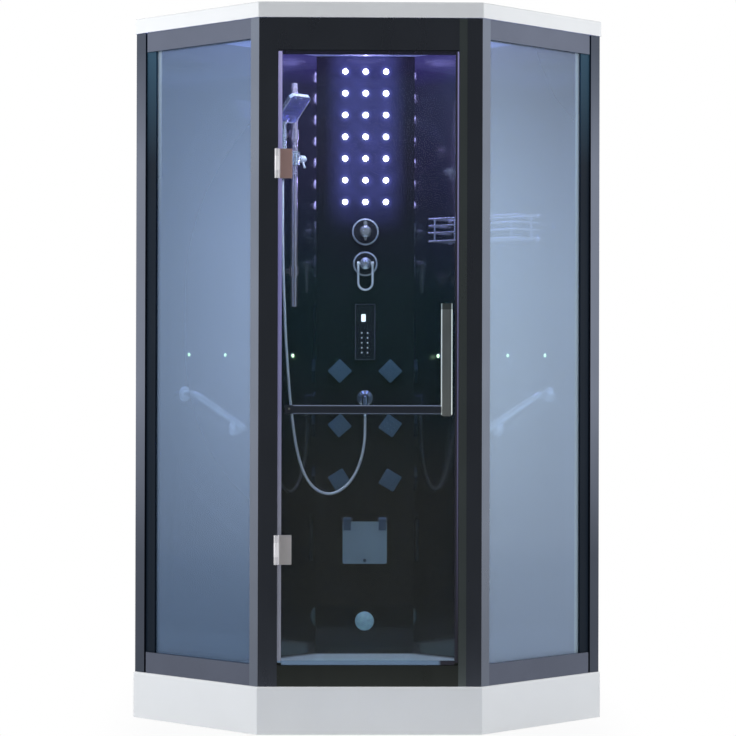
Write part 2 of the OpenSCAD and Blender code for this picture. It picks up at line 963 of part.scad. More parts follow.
module corner_post(w) {
  k = [-door_side / 2 + frame_inset * t22, front_y + frame_inset];
  p = profile_wall;
  difference() {
    prism(post_outline(w), tray_h, ceiling_z);
    translate([k.x + frame_t * t22 + p, k.y + p, tray_h - 1])
      cube([w - frame_t * t22 - 2 * p, frame_t - 2 * p, frame_l + 2]);
    panel_frame(-1)
      translate([rail_x1 - 1, pane_y - glass_fit, tray_h - 1])
        cube([groove + 1, pane_t + 2 * glass_fit, frame_l + 2]);
  }
}

module left_corner_post() {
  color(DARK)
    corner_post(hinge_post_w);
}

module right_corner_post() {
  color(DARK)
    mirror([1, 0, 0])
      corner_post(latch_post_w);
}

// A hollow rail with a groove in its upper side
module grooved_rail(h) {
  p = profile_wall;
  slot = pane_t + 2 * glass_fit;
  side = (frame_t - slot) / 2;
  difference() {
    square([frame_t, h]);
    translate([p, p])
      square([frame_t - 2 * p, h - groove - 2 * p]);
    translate([side, h - groove])
      square([slot, groove + 1]);
    for (x = [p, side + slot + p])
      translate([x, h - groove])
        square([side - 2 * p, groove - p]);
  }
}

module rail_pair(z) {
  color(GREY)
    for (side = [-1, 1])
      panel_frame(side)
        translate([0, frame_inset, z])
          along_x(channel_x0 + rail_joint, rail_x1)
            children();
}

module side_bottom_rails() {
  rail_pair(tray_h)
    grooved_rail(side_bottom_h);
}

module side_top_rails() {
  rail_pair(ceiling_z)
    mirror([0, 1])
      grooved_rail(side_top_h);
}

module side_channels() {
  p = profile_wall;
  d = frame_t - 2 * channel_set;
  slot = pane_t + 2 * glass_fit;
  color(BLACK)
    for (side = [-1, 1])
      panel_frame(side)
        translate([channel_x0, frame_inset + channel_set, tray_h])
          difference() {
            linear_extrude(frame_l)
              difference() {
                square([channel_w, d]);
                translate([p, p])
                  square([channel_w - groove - 2 * p, d - 2 * p]);
                translate([channel_w - groove, (d - slot) / 2])
                  square([groove + 1, slot]);
              }
            // Notches round the ends of the side rails
            for (z = [[-1, side_bottom_h], [frame_l - side_top_h, frame_l + 1]])
              translate([rail_joint, -1, z[0]])
                cube([channel_w, d + 2, z[1] - z[0]]);
          }
}

module side_glass() {
  x0 = channel_x1 - groove + glass_fit;
  x1 = rail_x1 + groove - glass_fit;
  z0 = tray_h + side_bottom_h - groove + glass_fit;
  z1 = ceiling_z - side_top_h + groove - glass_fit;
  color(GLASS)
    for (side = [-1, 1])
      panel_frame(side)
        translate([x0, pane_y, z0])
          cube([x1 - x0, pane_t, z1 - z0]);
}

// A hollow rail with a lip that the door closes against
module door_rail_section(h) {
  p = profile_wall;
  difference() {
    square([frame_t, h]);
    translate([p, p])
      square([frame_t - 2 * p, h / 2 - 1.5 * p]);
    translate([p, h / 2 + p / 2])
      square([frame_t - 2 * p, h / 2 - 1.5 * p]);
  }
  translate([stop_set, h - 1])
    square([stop_t, flange_h + 1]);
}

module door_sill() {
  color(DARK)
    translate([0, front_y + frame_inset, tray_h])
      along_x(open_left, open_right)
        door_rail_section(sill_h);
}

module door_header() {
  color(DARK)
    translate([0, front_y + frame_inset, ceiling_z])
      along_x(open_left, open_right)
        mirror([0, 1])
          door_rail_section(header_h);
}

module strike_profile() {
  p = profile_wall;
  lip = latch_gap + 3;
  lip_z0 = sill_h + flange_h;
  lip_z1 = frame_l - header_h - flange_h;
  color(DARK)
    translate([open_right, front_y + frame_inset + 1, tray_h]) {
      linear_extrude(frame_l)
        difference() {
          square([strike_w, frame_t - 1]);
          translate([p, p])
            square([strike_w - 2 * p, frame_t - 1 - 2 * p]);
        }
      translate([-lip, stop_set - 1, lip_z0])
        cube([lip + 1, stop_t, lip_z1 - lip_z0]);
    }
}

// Door hinges
// The frame as seen from a hinge's axis
reveal_x = open_left - hinge_x;
frame_y = knuckle_r + move_gap;

module at_hinges() {
  for (z = hinge_zs)
    translate([hinge_x, hinge_y, z])
      children();
}

// The post's half: an angle with a knuckle at each end
module hinge_leaves() {
  color(CHROME)
    at_hinges()
      difference() {
        union() {
          for (s = [0, 1])
            mirror([0, 0, s])
              translate([0, 0, hinge_h / 4]) {
                cylinder(r = knuckle_r, h = hinge_h / 4);
                translate([0, knuckle_r - leaf_t, 0])
                  cube([reveal_x + leaf_t, leaf_t, hinge_h / 4]);
              }
          translate([reveal_x, knuckle_r - leaf_t, -hinge_h / 2])
            cube([leaf_t, frame_t - 2, hinge_h]);
        }
        translate([0, 0, -hinge_h / 2 - 1])
          cylinder(r = hinge_pin_r + run_fit, h = hinge_h + 2);
        // Room for the door's knuckle
        translate([-1, knuckle_r - leaf_t - 1, -hinge_h / 4])
          cube([reveal_x + leaf_t + 2, 2 * leaf_t, hinge_h / 2]);
      }
}

// Two plates that grip the glass, and the middle knuckle
module hinge_clamps() {
  glass_face = frame_y + door_set;
  web_x = reveal_x + leaf_t + 1;
  edge_x = reveal_x + hinge_gap;
  mid = hinge_h / 2 - 2 * move_gap;
  color(CHROME)
    at_hinges()
      difference() {
        union() {
          translate([0, 0, -mid / 2])
            cylinder(r = knuckle_r, h = mid);
          translate([0, -knuckle_r + 2, -mid / 2])
            cube([web_x + 2, knuckle_r + 2, mid]);
          translate([web_x, glass_face - clamp_t, 0])
            clamp_block(edge_x + clamp_w - web_x, clamp_t + door_t + back_plate_t);
        }
        translate([edge_x, glass_face, -hinge_h / 2 - 1])
          cube([clamp_w + 1, door_t, hinge_h + 2]);
        for (s = [0, 1])
          mirror([0, 0, s])
            translate([0, 0, mid / 2])
              cylinder(r = knuckle_r + move_gap, h = hinge_h);
        translate([0, 0, -hinge_h / 2 - 1])
          cylinder(r = hinge_pin_r + run_fit, h = hinge_h + 2);
        // Heads of the clamping screws
        for (z = [-hinge_h / 4, hinge_h / 4])
          translate([edge_x + clamp_w / 2, glass_face + door_t + back_plate_t - 2, z])
            rotate([-90, 0, 0])
              cylinder(r = 4, h = 3, $fn = 6);
      }
}

// A block as high as the hinge with chamfered edges
module clamp_block(w, d) {
  c = 1.2;
  translate([0, 0, -hinge_h / 2])
    linear_extrude(hinge_h)
      polygon([[0, c], [c, 0], [w - c, 0], [w, c], [w, d - c], [w - c, d], [c, d], [0, d - c]]);
}

module hinge_pins() {
  color(STEEL) {
    at_hinges()
      translate([0, 0, -hinge_h / 2])
        cylinder(r = hinge_pin_r, h = hinge_h);
    translate([0, column_y - rest_hinge_n, rest_z])
      rest_pins(rest_pin_r, rest_pin_l);
  }
}

// Door
module door_glass() {
  color(GLASS)
    difference() {
      translate([door_left, glass_y, door_low])
        cube([door_right - door_left, door_t, door_high - door_low]);
      for (p = standoffs())
        translate([p.x, glass_y - 1, p.y])
          rotate([-90, 0, 0])
            cylinder(r = standoff_r - 2 + glass_fit, h = door_t + 2);
    }
}

// Stand-offs as [x, z]
function standoffs() = [[boss_x, bar_z], [grip_x, bar_z], [grip_x, grip_low + grip_l - 25]];

// A flat bar's section with chamfered corners
module bar_section(w, t) {
  c = 3;
  polygon([
    [-w / 2 + c, -t / 2], [w / 2 - c, -t / 2], [w / 2, -t / 2 + c], [w / 2, t / 2 - c],
    [w / 2 - c, t / 2], [-w / 2 + c, t / 2], [-w / 2, t / 2 - c], [-w / 2, -t / 2 + c]
  ]);
}

module door_handle() {
  axis_y = glass_y - bar_reach - bar_t / 2;
  color(CHROME) {
    difference() {
      translate([grip_x, axis_y, grip_low])
        linear_extrude(grip_l)
          bar_section(grip_w, bar_t);
      // Chamfered foot and the joint under the top cap
      for (s = [-1, 1])
        translate([grip_x + s * grip_w / 2, axis_y, grip_low])
          rotate([90, 0, 0])
            cylinder(r = 6, h = bar_t + 2, center = true, $fn = 4);
      translate([grip_x, axis_y, grip_low + grip_l - cap_h])
        linear_extrude(1)
          difference() {
            square([grip_w + 2, bar_t + 2], center = true);
            bar_section(grip_w - 2, bar_t - 2);
          }
    }
    translate([0, axis_y, bar_z])
      along_x(boss_x, grip_x)
        rotate(90)
          bar_section(bar_h, bar_t - 2);
    translate([boss_x, axis_y, bar_z])
      rotate([90, 0, 0]) {
        linear_extrude(bar_t - 2, center = true)
          polygon(rounded(box_points(bar_h, bar_h), 5));
        cylinder(r1 = standoff_r + 2, r2 = standoff_r, h = bar_t / 2);
      }
    for (p = standoffs())
      translate([p.x, axis_y, p.y])
        rotate([-90, 0, 0]) {
          cylinder(r = standoff_r, h = bar_t / 2 + bar_reach);
          cylinder(r = standoff_r - 2, h = bar_t / 2 + bar_reach + door_t + 3);
          translate([0, 0, bar_t / 2 + bar_reach + door_t])
            cylinder(r1 = standoff_r + 2, r2 = standoff_r, h = 6);
        }
  }
}

// Section of a seal that clips over the glass, outer side at X = 0
module edge_seal(gap) {
  difference() {
    translate([0, -seal_lip])
      square([gap + seal_w, door_t + 2 * seal_lip]);
    translate([gap, 0])
      square([seal_w + 1, door_t]);
  }
}

module door_seals() {
  color(GREY) {
    // Hinge side, between the hinges
    for (z = [
      [door_low, hinge_zs[0] - hinge_h / 2 - move_gap],
      [hinge_zs[0] + hinge_h / 2 + move_gap, hinge_zs[1] - hinge_h / 2 - move_gap],
      [hinge_zs[1] + hinge_h / 2 + move_gap, door_high]
    ])
      translate([open_left + move_gap, glass_y, z[0]])
        linear_extrude(z[1] - z[0])
          edge_seal(hinge_gap - move_gap);
    // Latch side
    translate([open_right - 2 * move_gap, glass_y, door_low])
      linear_extrude(door_high - door_low)
        mirror([1, 0])
          edge_seal(latch_gap - 2 * move_gap);
    // Foot of the door, with a drip lip
    translate([0, glass_y, door_low - bottom_gap + 1])
      along_x(door_left + seal_w + 1, door_right - seal_w - 1) {
        difference() {
          translate([-seal_lip, 0])
            square([door_t + 2 * seal_lip, bottom_gap - 1 + seal_w]);
          translate([0, bottom_gap - 1])
            square([door_t, seal_w + 1]);
        }
        polygon([[door_t, 0], [door_t + 3, -0.5], [door_t + 3, 1], [door_t, 4]]);
      }
  }
}

// Lamps
module lamp(r, body_r, body_l) {
  cylinder(r = r, h = 1.5);
  cylinder(r1 = r - 1.5, r2 = r - 4, h = 3.5);
  translate([0, 0, -body_l])
    cylinder(r = body_r, h = body_l + 1);
}

module led_lights() {
  color(LAMP) {
    for (z = lamp_zs(), i = [-1:1])
      on_column(i * lamp_pitch_x, z)
        lamp(lamp_r, lamp_body_r, lamp_body_l);
    for (side = [-1, 1], a = wall_lamp_as)
      on_wall(side, a, wall_lamp_z)
        lamp(wall_lamp_r, wall_lamp_r - 4, 14);
  }
}

// Valves
module cover_plate(r, sleeve_h) {
  difference() {
    union() {
      cylinder(r = r, h = 2);
      rotate_extrude()
        translate([r - 6, 2])
          intersection() {
            circle(6);
            square(6);
          }
      cylinder(r = r - 6 + 0.01, h = 8);
      cylinder(r = spindle_r + 8, h = sleeve_h);
    }
    translate([0, 0, -1])
      cylinder(r = spindle_r + 1, h = sleeve_h + 2);
  }
}

plate_sleeve = 14;

module valve_plates() {
  color(CHROME) {
    on_column(0, diverter_z)
      cover_plate(diverter_plate_r, plate_sleeve);
    on_column(0, mixer_z)
      cover_plate(mixer_plate_r, plate_sleeve);
  }
}

inlet_hex = 4;

module valve_bodies() {
  color(BRASS) {
    for (z = [diverter_z, mixer_z])
      on_column(0, z)
        translate([0, 0, -column_t - 12])
          cylinder(r = spindle_r, h = column_t + 12 + plate_sleeve + 16);
    on_column(0, diverter_z) {
      translate([0, 0, -pipe_depth - valve_r / 2 - 6])
        cylinder(r = valve_r, h = pipe_depth + valve_r / 2 + 6 - column_t);
      for (a = [0:90:270])
        rotate(a)
          translate([0, 0, -pipe_depth])
            rotate([0, 90, 0])
              cylinder(r = pipe_r + 2, h = valve_r + 8);
    }
    on_column(0, mixer_z) {
      translate([-mixer_l / 2, 0, -pipe_depth])
        rotate([0, 90, 0])
          cylinder(r = valve_r, h = mixer_l);
      for (x = [-inlet_x, inlet_x])
        translate([x, 0, -pipe_depth])
          rotate([180, 0, 0]) {
            translate([0, 0, valve_r - 8])
              cylinder(r = inlet_r + 3.5, h = 8 + inlet_hex, $fn = 6);
            cylinder(r = inlet_r, h = valve_r + inlet_hex + inlet_l);
          }
      translate([0, 0, -pipe_depth])
        rotate([-90, 0, 0])
          cylinder(r = pipe_r + 2, h = valve_r + 8);
    }
  }
}

module diverter_knob() {
  color(CHROME)
    on_column(0, diverter_z)
      translate([0, 0, plate_sleeve + move_gap])
        difference() {
          union() {
            cylinder(r = 19, h = 18);
            translate([0, 0, 18])
              cylinder(r1 = 19, r2 = 13, h = 6);
            // Upright lever with a round tip
            translate([-6, 0, 4])
              cube([12, 30, 14]);
            translate([0, 30, 4])
              cylinder(r = 6, h = 14);
            translate([-5, -24, 4])
              cube([10, 24, 12]);
            translate([0, -24, 4])
              cylinder(r = 5, h = 12);
          }
          translate([0, 0, -1])
            cylinder(r = spindle_r + run_fit, h = 17 + move_gap);
        }
}

hub_l = 32;
loop_n = plate_sleeve + 18;
eye_w = 2 * loop_rod_r + 1;
loop_x = mixer_hub_r + eye_w / 2 + move_gap;
loop_pin_r = 3;

module mixer_hub() {
  color(CHROME)
    on_column(0, mixer_z) {
      difference() {
        union() {
          translate([0, 0, plate_sleeve + move_gap])
            cylinder(r = mixer_hub_r, h = hub_l - 10);
          translate([0, 0, plate_sleeve + move_gap + hub_l - 10])
            cylinder(r1 = mixer_hub_r, r2 = mixer_hub_r - 8, h = 7);
          translate([0, 0, plate_sleeve + move_gap + hub_l - 3])
            cylinder(r1 = mixer_hub_r - 8, r2 = mixer_hub_r - 14, h = 3);
          translate([0, 0, loop_n])
            rotate([0, 90, 0])
              cylinder(r = loop_pin_r, h = 2 * loop_x + eye_w, center = true);
        }
        translate([0, 0, plate_sleeve - 1])
          cylinder(r = spindle_r + run_fit, h = 17 + move_gap);
      }
    }
}

module mixer_lever() {
  arm = loop_l - loop_x - loop_rod_r;
  color(CHROME)
    on_column(0, mixer_z)
      translate([0, 0, loop_n]) {
        difference() {
          for (s = [-1, 1]) {
            translate([s * loop_x, 0, 0])
              rotate([0, 90, 0])
                cylinder(r = 6.5, h = eye_w, center = true);
            rod([s * loop_x, -4, 0], [s * loop_x, -arm, 0], loop_rod_r);
          }
          rotate([0, 90, 0])
            cylinder(r = loop_pin_r + run_fit, h = 3 * loop_x, center = true);
        }
        translate([0, -arm, 0])
          rotate(180)
            rotate_extrude(angle = 180)
              translate([loop_x, 0])
                circle(loop_rod_r);
      }
}

// Pipework
module pipework() {
  depth = pipe_depth;
  stub = valve_r + 8;
  deep = pipe_y + 2 * pipe_r + 2;
  side_x = column_w / 2 - 2 * pipe_r - depth - pipe_r - 12;
  tail_y = column_y + jet_tail;
  cross_z = (jet_zs[0] + outlet_z) / 2 + 8;
  color(STEEL) {
    // Riser to the rain head
    pipe([
      [0, pipe_y, diverter_z + stub], [0, pipe_y, roof_pipe_z], [0, rain_y, roof_pipe_z],
      [0, rain_y, roof_pipe_z - 10]
    ], pipe_r);
    // Link from the mixer to the diverter
    pipe([[0, pipe_y, mixer_z + stub], [0, pipe_y, diverter_z - stub]], pipe_r);
    // Feed of the six jets
    pipe([
      [-stub, pipe_y, diverter_z], [-jet_x, pipe_y, diverter_z], [-jet_x, pipe_y, jet_zs[4]]
    ], pipe_r);
    pipe([
      [-jet_x, pipe_y, cross_z], [jet_x, pipe_y, cross_z], [jet_x, pipe_y, jet_zs[5]]
    ], pipe_r);
    translate([jet_x, pipe_y, cross_z])
      cylinder(r = pipe_r, h = jet_zs[0] - cross_z);
    for (i = [0:5])
      translate([jet_sides[i] * jet_x, 0, jet_zs[i]]) {
        rod([0, pipe_y, 0], [0, tail_y, 0], pipe_r + 1);
        translate([0, pipe_y, 0])
          sphere(pipe_r + 1);
      }
    // Feed of the hose outlet
    pipe([
      [stub, pipe_y, diverter_z], [side_x, pipe_y, diverter_z], [side_x, deep, diverter_z],
      [side_x, deep, outlet_z], [0, deep, outlet_z], [0, tail_y, outlet_z]
    ], pipe_r);
    // Steam pipe
    pipe([
      [0, pipe_y, rest_z - boiler_h - 10], [0, pipe_y, steam_z], [0, tail_y, steam_z]
    ], pipe_r);
  }
}

// Steam
module steam_generator() {
  color(STEEL)
    translate([-boiler_w / 2, column_y + column_t, rest_z - boiler_h - 10])
      difference() {
        cube([boiler_w, boiler_t, boiler_h]);
        for (s = [0, 1])
          translate([s * boiler_w, boiler_t, -1])
            rotate(45)
              cube([16, 16, 3 * boiler_h], center = true);
      }
}

module steam_outlet() {
  color(CHROME)
    on_column(0, steam_z) {
      difference() {
        union() {
          cylinder(r = steam_r, h = 4);
          rotate_extrude()
            intersection() {
              translate([0, 4])
                square([steam_r, 20]);
              translate([0, 4 - steam_r])
                circle(r = steam_r * sqrt(2) - 1);
            }
        }
        for (i = [-1:1])
          translate([i * 9 - 2.5, -steam_r - 1, 5])
            cube([5, 14, 14]);
      }
      translate([0, 0, -jet_tail])
        cylinder(r = 10, h = jet_tail + 1);
    }
}

// Raised rim, display and two columns of touch keys
panel_t = 9;
panel_rim = 16;
panel_sink = 1.5;
key_pitch = [19, 16.25];

module control_panel() {
  color(BLACK)
    on_column(0, panel_z) {
      difference() {
        union() {
          linear_extrude(panel_t - 2)
            polygon(rounded(box_points(panel_w, panel_h), 4));
          linear_extrude(panel_t)
            polygon(rounded(box_points(panel_w - 3, panel_h - 3), 3));
        }
        translate([0, 0, panel_t - panel_sink])
          linear_extrude(2)
            polygon(rounded(box_points(panel_w - 8, panel_h - 8), 3));
      }
      translate([-5.5 - display_w / 2, panel_h / 4 - display_w * 0.85, panel_t - 2])
        cube([display_w, display_w * 1.7, 1]);
      for (i = [0:4], s = [-0.5, 0.5])
        translate([s * key_pitch.x - 1.5, -3 - i * key_pitch.y, panel_t - 2])
          cylinder(r = 3, h = 1);
      translate([-(panel_w - panel_rim) / 2, -(panel_h - panel_rim) / 2, -20])
        cube([panel_w - panel_rim, panel_h - panel_rim, 21]);
    }
}

// Jets
module jet_bases() {
  color(CHROME)
    for (i = [0:5])
      on_column(jet_sides[i] * jet_x, jet_zs[i]) {
        cylinder(r = 24, h = 3);
        cylinder(r = jet_stub_r, h = 11);
        translate([0, 0, -jet_tail])
          cylinder(r = 12, h = jet_tail + 1);
      }
}

module jet(i) {
  color(BLUE)
    on_column(jet_sides[i] * jet_x, jet_zs[i])
      rotate(jet_turns[i])
        translate([0, 0, 3 + move_gap])
          difference() {
            union() {
              linear_extrude(jet_t - 2)
                polygon(rounded(box_points(jet_w, jet_w), 4));
              linear_extrude(jet_t)
                polygon(rounded(box_points(jet_w - 4, jet_w - 4), 3));
              for (x = [-1:1], y = [-1:1])
                translate([x * 14, y * 14, jet_t])
                  cylinder(r1 = 3, r2 = 2, h = 1.5);
            }
            translate([0, 0, -1])
              cylinder(r = jet_stub_r + run_fit, h = 9.2);
          }
}

module jet_1() { jet(0); }
module jet_2() { jet(1); }
module jet_3() { jet(2); }
module jet_4() { jet(3); }
module jet_5() { jet(4); }
module jet_6() { jet(5); }

// Hose outlet and hose
module hose_outlet() {
  color(CHROME)
    on_column(0, outlet_z) {
      cylinder(r = outlet_r, h = 3);
      translate([0, 0, 3])
        cylinder(r1 = outlet_r - 2, r2 = 14, h = 7);
      cylinder(r = 11, h = outlet_n);
      translate([0, 0, outlet_n])
        sphere(11);
      rod([0, 0, outlet_n], [0, -20, outlet_n], 11);
      rod([0, -20, outlet_n], [0, -outlet_drop, outlet_n], 9.5);
      translate([0, 0, -jet_tail])
        cylinder(r = 10, h = jet_tail + 1);
    }
}

module hose_nut(r) {
  cylinder(r1 = hose_r + 0.5, r2 = r - 1, h = 12);
  translate([0, 0, 12])
    cylinder(r = r, h = nut_l - 12);
}

module outlet_hose_nut() {
  color(CHROME)
    translate([0, column_y - outlet_n, outlet_z - outlet_drop - nut_l])
      hose_nut(12);
}

// The route with its ends moved onto the two nuts
hose_ends = [
  [0, column_y - outlet_n, outlet_z - outlet_drop - nut_l],
  [-handset_x, handset_y, slider_z - handle_drop - handle_nut_l]
];

function hose_path(p = hose_route, m = len(hose_route) - 1) = [
  for (i = [0:m])
    p[i] + (hose_ends[0] - p[0]) * (m - i) / m + (hose_ends[1] - p[m]) * i / m
];

// Catmull-Rom point between p[i] and p[i + 1]
function route_at(p, i, t) =
  let (a = p[max(i - 1, 0)], b = p[i], c = p[i + 1], d = p[min(i + 2, len(p) - 1)])
  0.5 * (2 * b + (c - a) * t + (2 * a - 5 * b + 4 * c - d) * t * t
    + (3 * b - a - 3 * c + d) * t * t * t);

module swept_tube(route, r, sides, steps) {
  n = len(route);
  path = [
    for (i = [0:n - 2], s = [0:steps - 1]) route_at(route, i, s / steps),
    route[n - 1]
  ];
  m = len(path);
  along = [for (i = [0:m - 1]) i == 0 || i == m - 1
    ? [0, 0, i == 0 ? -1 : 1]
    : unit(path[i + 1] - path[i - 1])];
  side = unit([1, 1, 0]);
  rings = [
    for (i = [0:m - 1])
      let (u = unit(cross(along[i], side)), v = cross(along[i], u))
      for (k = [0:sides - 1])
        path[i] + r * (u * cos(360 * k / sides) + v * sin(360 * k / sides))
  ];
  polyhedron(
    points = rings,
    faces = concat(
      [[for (k = [0:sides - 1]) k]],
      [[for (k = [sides - 1:-1:0]) (m - 1) * sides + k]],
      [for (i = [0:m - 2], k = [0:sides - 1]) each [
        [i * sides + k, (i + 1) * sides + k, i * sides + (k + 1) % sides],
        [i * sides + (k + 1) % sides, (i + 1) * sides + k,
          (i + 1) * sides + (k + 1) % sides]
      ]]
    )
  );
}

module shower_hose() {
  color(CHROME)
    swept_tube(hose_path(), hose_r, 10, 2);
}

// Riser rail with its two brackets
module riser_rail() {
  color(CHROME)
    at_rail(0, 0) {
      translate([0, 0, rail_z])
        cylinder(r = rail_r, h = rail_l);
      for (z = rail_brackets)
        translate([0, 0, z])
          difference() {
            union() {
              cylinder(r = rail_r + 4, h = ring_h, center = true);
              rotate([90, 0, 0])
                cylinder(r = 8, h = rail_n);
              translate([0, -rail_n + 6, 0])
                rotate([90, 0, 0])
                  cylinder(r1 = 14, r2 = 22, h = 6);
            }
            cylinder(r = rail_r + run_fit, h = ring_h + 2, center = true);
          }
    }
}

pivot_l = 14;

module slider() {
  color(CHROME)
    at_rail(0, slider_z)
      difference() {
        union() {
          cylinder(r = rail_r + 6, h = slider_h, center = true);
          rotate([0, 90, 0]) {
            cylinder(r = 9, h = cradle_a - handle_r - 6 - pivot_l);
            cylinder(r = 5, h = cradle_a - handle_r - 9);
          }
          rotate([0, -90, 0]) {
            cylinder(r = 9, h = 24);
            cylinder(r = 4, h = 44);
          }
        }
        cylinder(r = rail_r + run_fit, h = slider_h + 2, center = true);
      }
}

module slider_knob() {
  color(CHROME)
    at_rail(0, slider_z)
      rotate([0, -90, 0])
        difference() {
          union() {
            translate([0, 0, 24 + move_gap])
              cylinder(r = 12, h = 18);
            translate([0, 0, 42 + move_gap])
              cylinder(r1 = 12, r2 = 7, h = 8);
            // Small lever that points down
            rod([-4, 3, 34], [-26, 12, 34], 3.2);
            translate([-26, 12, 34])
              sphere(4.5);
          }
          translate([0, 0, 20])
            cylinder(r = 4 + run_fit, h = 25);
        }
}

module at_handset() {
  at_rail(cradle_a, slider_z)
    children();
}

module handset_cradle() {
  color(CHROME)
    at_handset()
      difference() {
        union() {
          cylinder(r = handle_r + 5, h = 30, center = true);
          rotate([0, -90, 0])
            cylinder(r = 9, h = handle_r + 6 + pivot_l - move_gap);
        }
        translate([0, 0, -16])
          cylinder(r1 = handle_r - 1 + move_gap, r2 = handle_r + 0.6 + move_gap, h = 32);
        // Slot that the hose slips through
        translate([-7.5, 0, -16])
          cube([15, handle_r + 6, 32]);
        rotate([0, -90, 0])
          translate([0, 0, handle_r + 6])
            cylinder(r = 5 + run_fit, h = pivot_l + 1);
      }
}

handle_up = 101;
neck_r = 24;

module hand_shower() {
  color(CHROME)
    at_handset() {
      translate([0, 0, -handle_drop])
        cylinder(r1 = handle_r - 3, r2 = handle_r - 1, h = handle_drop - 16);
      translate([0, 0, -16])
        cylinder(r1 = handle_r - 1, r2 = handle_r + 0.6, h = 32);
      translate([0, 0, 16])
        cylinder(r1 = handle_r + 0.6, r2 = handle_r - 1, h = handle_up - 16);
      // Bent neck
      translate([0, neck_r, handle_up])
        rotate([90, 0, -90])
          rotate_extrude(angle = head_tilt)
            translate([neck_r, 0])
              circle(handle_r - 1);
      translate([0, neck_r * (1 - cos(head_tilt)), handle_up + neck_r * sin(head_tilt)])
        rotate([-head_tilt, 0, 0])
          shower_head();
    }
}

// Flat head with a stepped rim and rows of spray nozzles
module shower_head() {
  cylinder(r1 = handle_r - 1, r2 = head_t / 2 - 1, h = 26);
  translate([0, 0, head_l / 2 - 2])
    rotate([90, 0, 0]) {
      translate([0, 0, -head_t / 2])
        linear_extrude(head_t - 3)
          polygon(rounded(box_points(head_w, head_l), 16));
      translate([0, 0, head_t / 2 - 4])
        linear_extrude(4)
          polygon(rounded(box_points(head_w - 5, head_l - 5), 14));
    }
  translate([0, head_t / 2 - 1, head_l / 2 - 2])
    rotate([-90, 0, 0])
      nozzle_field();
}

module nozzle_field() {
  linear_extrude(2)
    polygon(rounded(box_points(head_w - 16, head_l - 16), 9));
  for (i = [-2.5:2.5], j = [-3:3])
    translate([i * (head_w - 30) / 5, j * (head_l - 30) / 6, 2])
      cylinder(r1 = 2, r2 = 1.2, h = 1.2);
}

module handset_hose_nut() {
  color(CHROME)
    at_handset()
      translate([0, 0, -handle_drop - handle_nut_l]) {
        cylinder(r1 = hose_r + 0.5, r2 = 9, h = 6);
        translate([0, 0, 6])
          cylinder(r = 10, h = handle_nut_l - 6);
      }
}

// Wire rack on the right back wall
module wire_rack() {
  r = rack_r;
  l = rack_l;
  n = rack_n - r;
  levels = [0, rack_lift, rack_lift + rack_pitch, rack_lift + 2 * rack_pitch];
  top = levels[3];
  color(CHROME)
    wall_frame(1)
      translate([wall_off + column_a + rack_a, wall_off, rack_z]) {
        for (z = levels)
          pipe([[0, 0.2, z], [0, n, z], [l, n, z], [l, 0.2, z]], r);
        pipe([[0, 2 * r, 0], [l, 2 * r, 0]], r - 0.3);
        pipe([[0, 2 * r, top], [l, 2 * r, top]], r - 0.3);
        for (x = [24, l - 24], y = [2 * r, n])
          rod([x, y, 0], [x, y, top], r - 0.3);
        for (i = [1:rack_wires])
          translate([i * l / (rack_wires + 1), 0, 0])
            rod([0, 2 * r, 0], [0, n, 0], r - 1);
        for (x = [0, l], z = [0, top])
          translate([x, 0, z])
            rotate([-90, 0, 0])
              cylinder(r = 8, h = 3);
      }
}

// Grab handles, one on each back wall
module grab_handle() {
  bend = 22;
  slope = atan2(grab_rise, grab_run);
  l = norm([grab_rise, grab_run]);
  rotate([0, -slope, 0]) {
    for (s = [0, 1])
      translate([s * l, 0, 0])
        mirror([s, 0, 0]) {
          rotate([-90, 0, 0]) {
            cylinder(r = grab_r, h = grab_n - bend);
            cylinder(r1 = 2 * grab_r + 2, r2 = 2 * grab_r - 2, h = 6);
          }
          translate([bend, grab_n - bend, 0])
            rotate(90)
              rotate_extrude(angle = 90)
                translate([bend, 0])
                  circle(grab_r);
        }
    rod([bend, grab_n, 0], [l - bend, grab_n, 0], grab_r);
  }
}

module grab_handles() {
  color(CHROME)
    for (side = [-1, 1])
      wall_frame(side)
        translate([wall_off + column_a + grab_a, wall_off, grab_z])
          grab_handle();
}

// Foot rest
ear_gap = 24;
ear_t = 5;
rest_pin_r = 3;
rest_pin_l = 36;

module rest_pins(r, l) {
  for (x = rest_hinge_x * [-1, 1])
    translate([x, 0, 0])
      rotate([0, 90, 0])
        cylinder(r = r, h = l, center = true);
}

module foot_rest_brackets() {
  color(CHROME)
    for (x = rest_hinge_x * [-1, 1])
      translate([x, column_y, rest_z])
        difference() {
          union() {
            translate([-rest_pin_l / 2, -3, -10])
              cube([rest_pin_l, 3, 22]);
            for (s = [-1, 1])
              translate([s * (ear_gap + ear_t + 1) / 2, 0, 0])
                rotate([0, 90, 0]) {
                  translate([-6, -rest_hinge_n, -ear_t / 2])
                    cube([12, rest_hinge_n, ear_t]);
                  translate([0, -rest_hinge_n, -ear_t / 2])
                    cylinder(r = 6, h = ear_t);
                }
          }
          translate([-x, -rest_hinge_n, 0])
            rest_pins(rest_pin_r + run_fit, rest_pin_l + 4);
        }
}

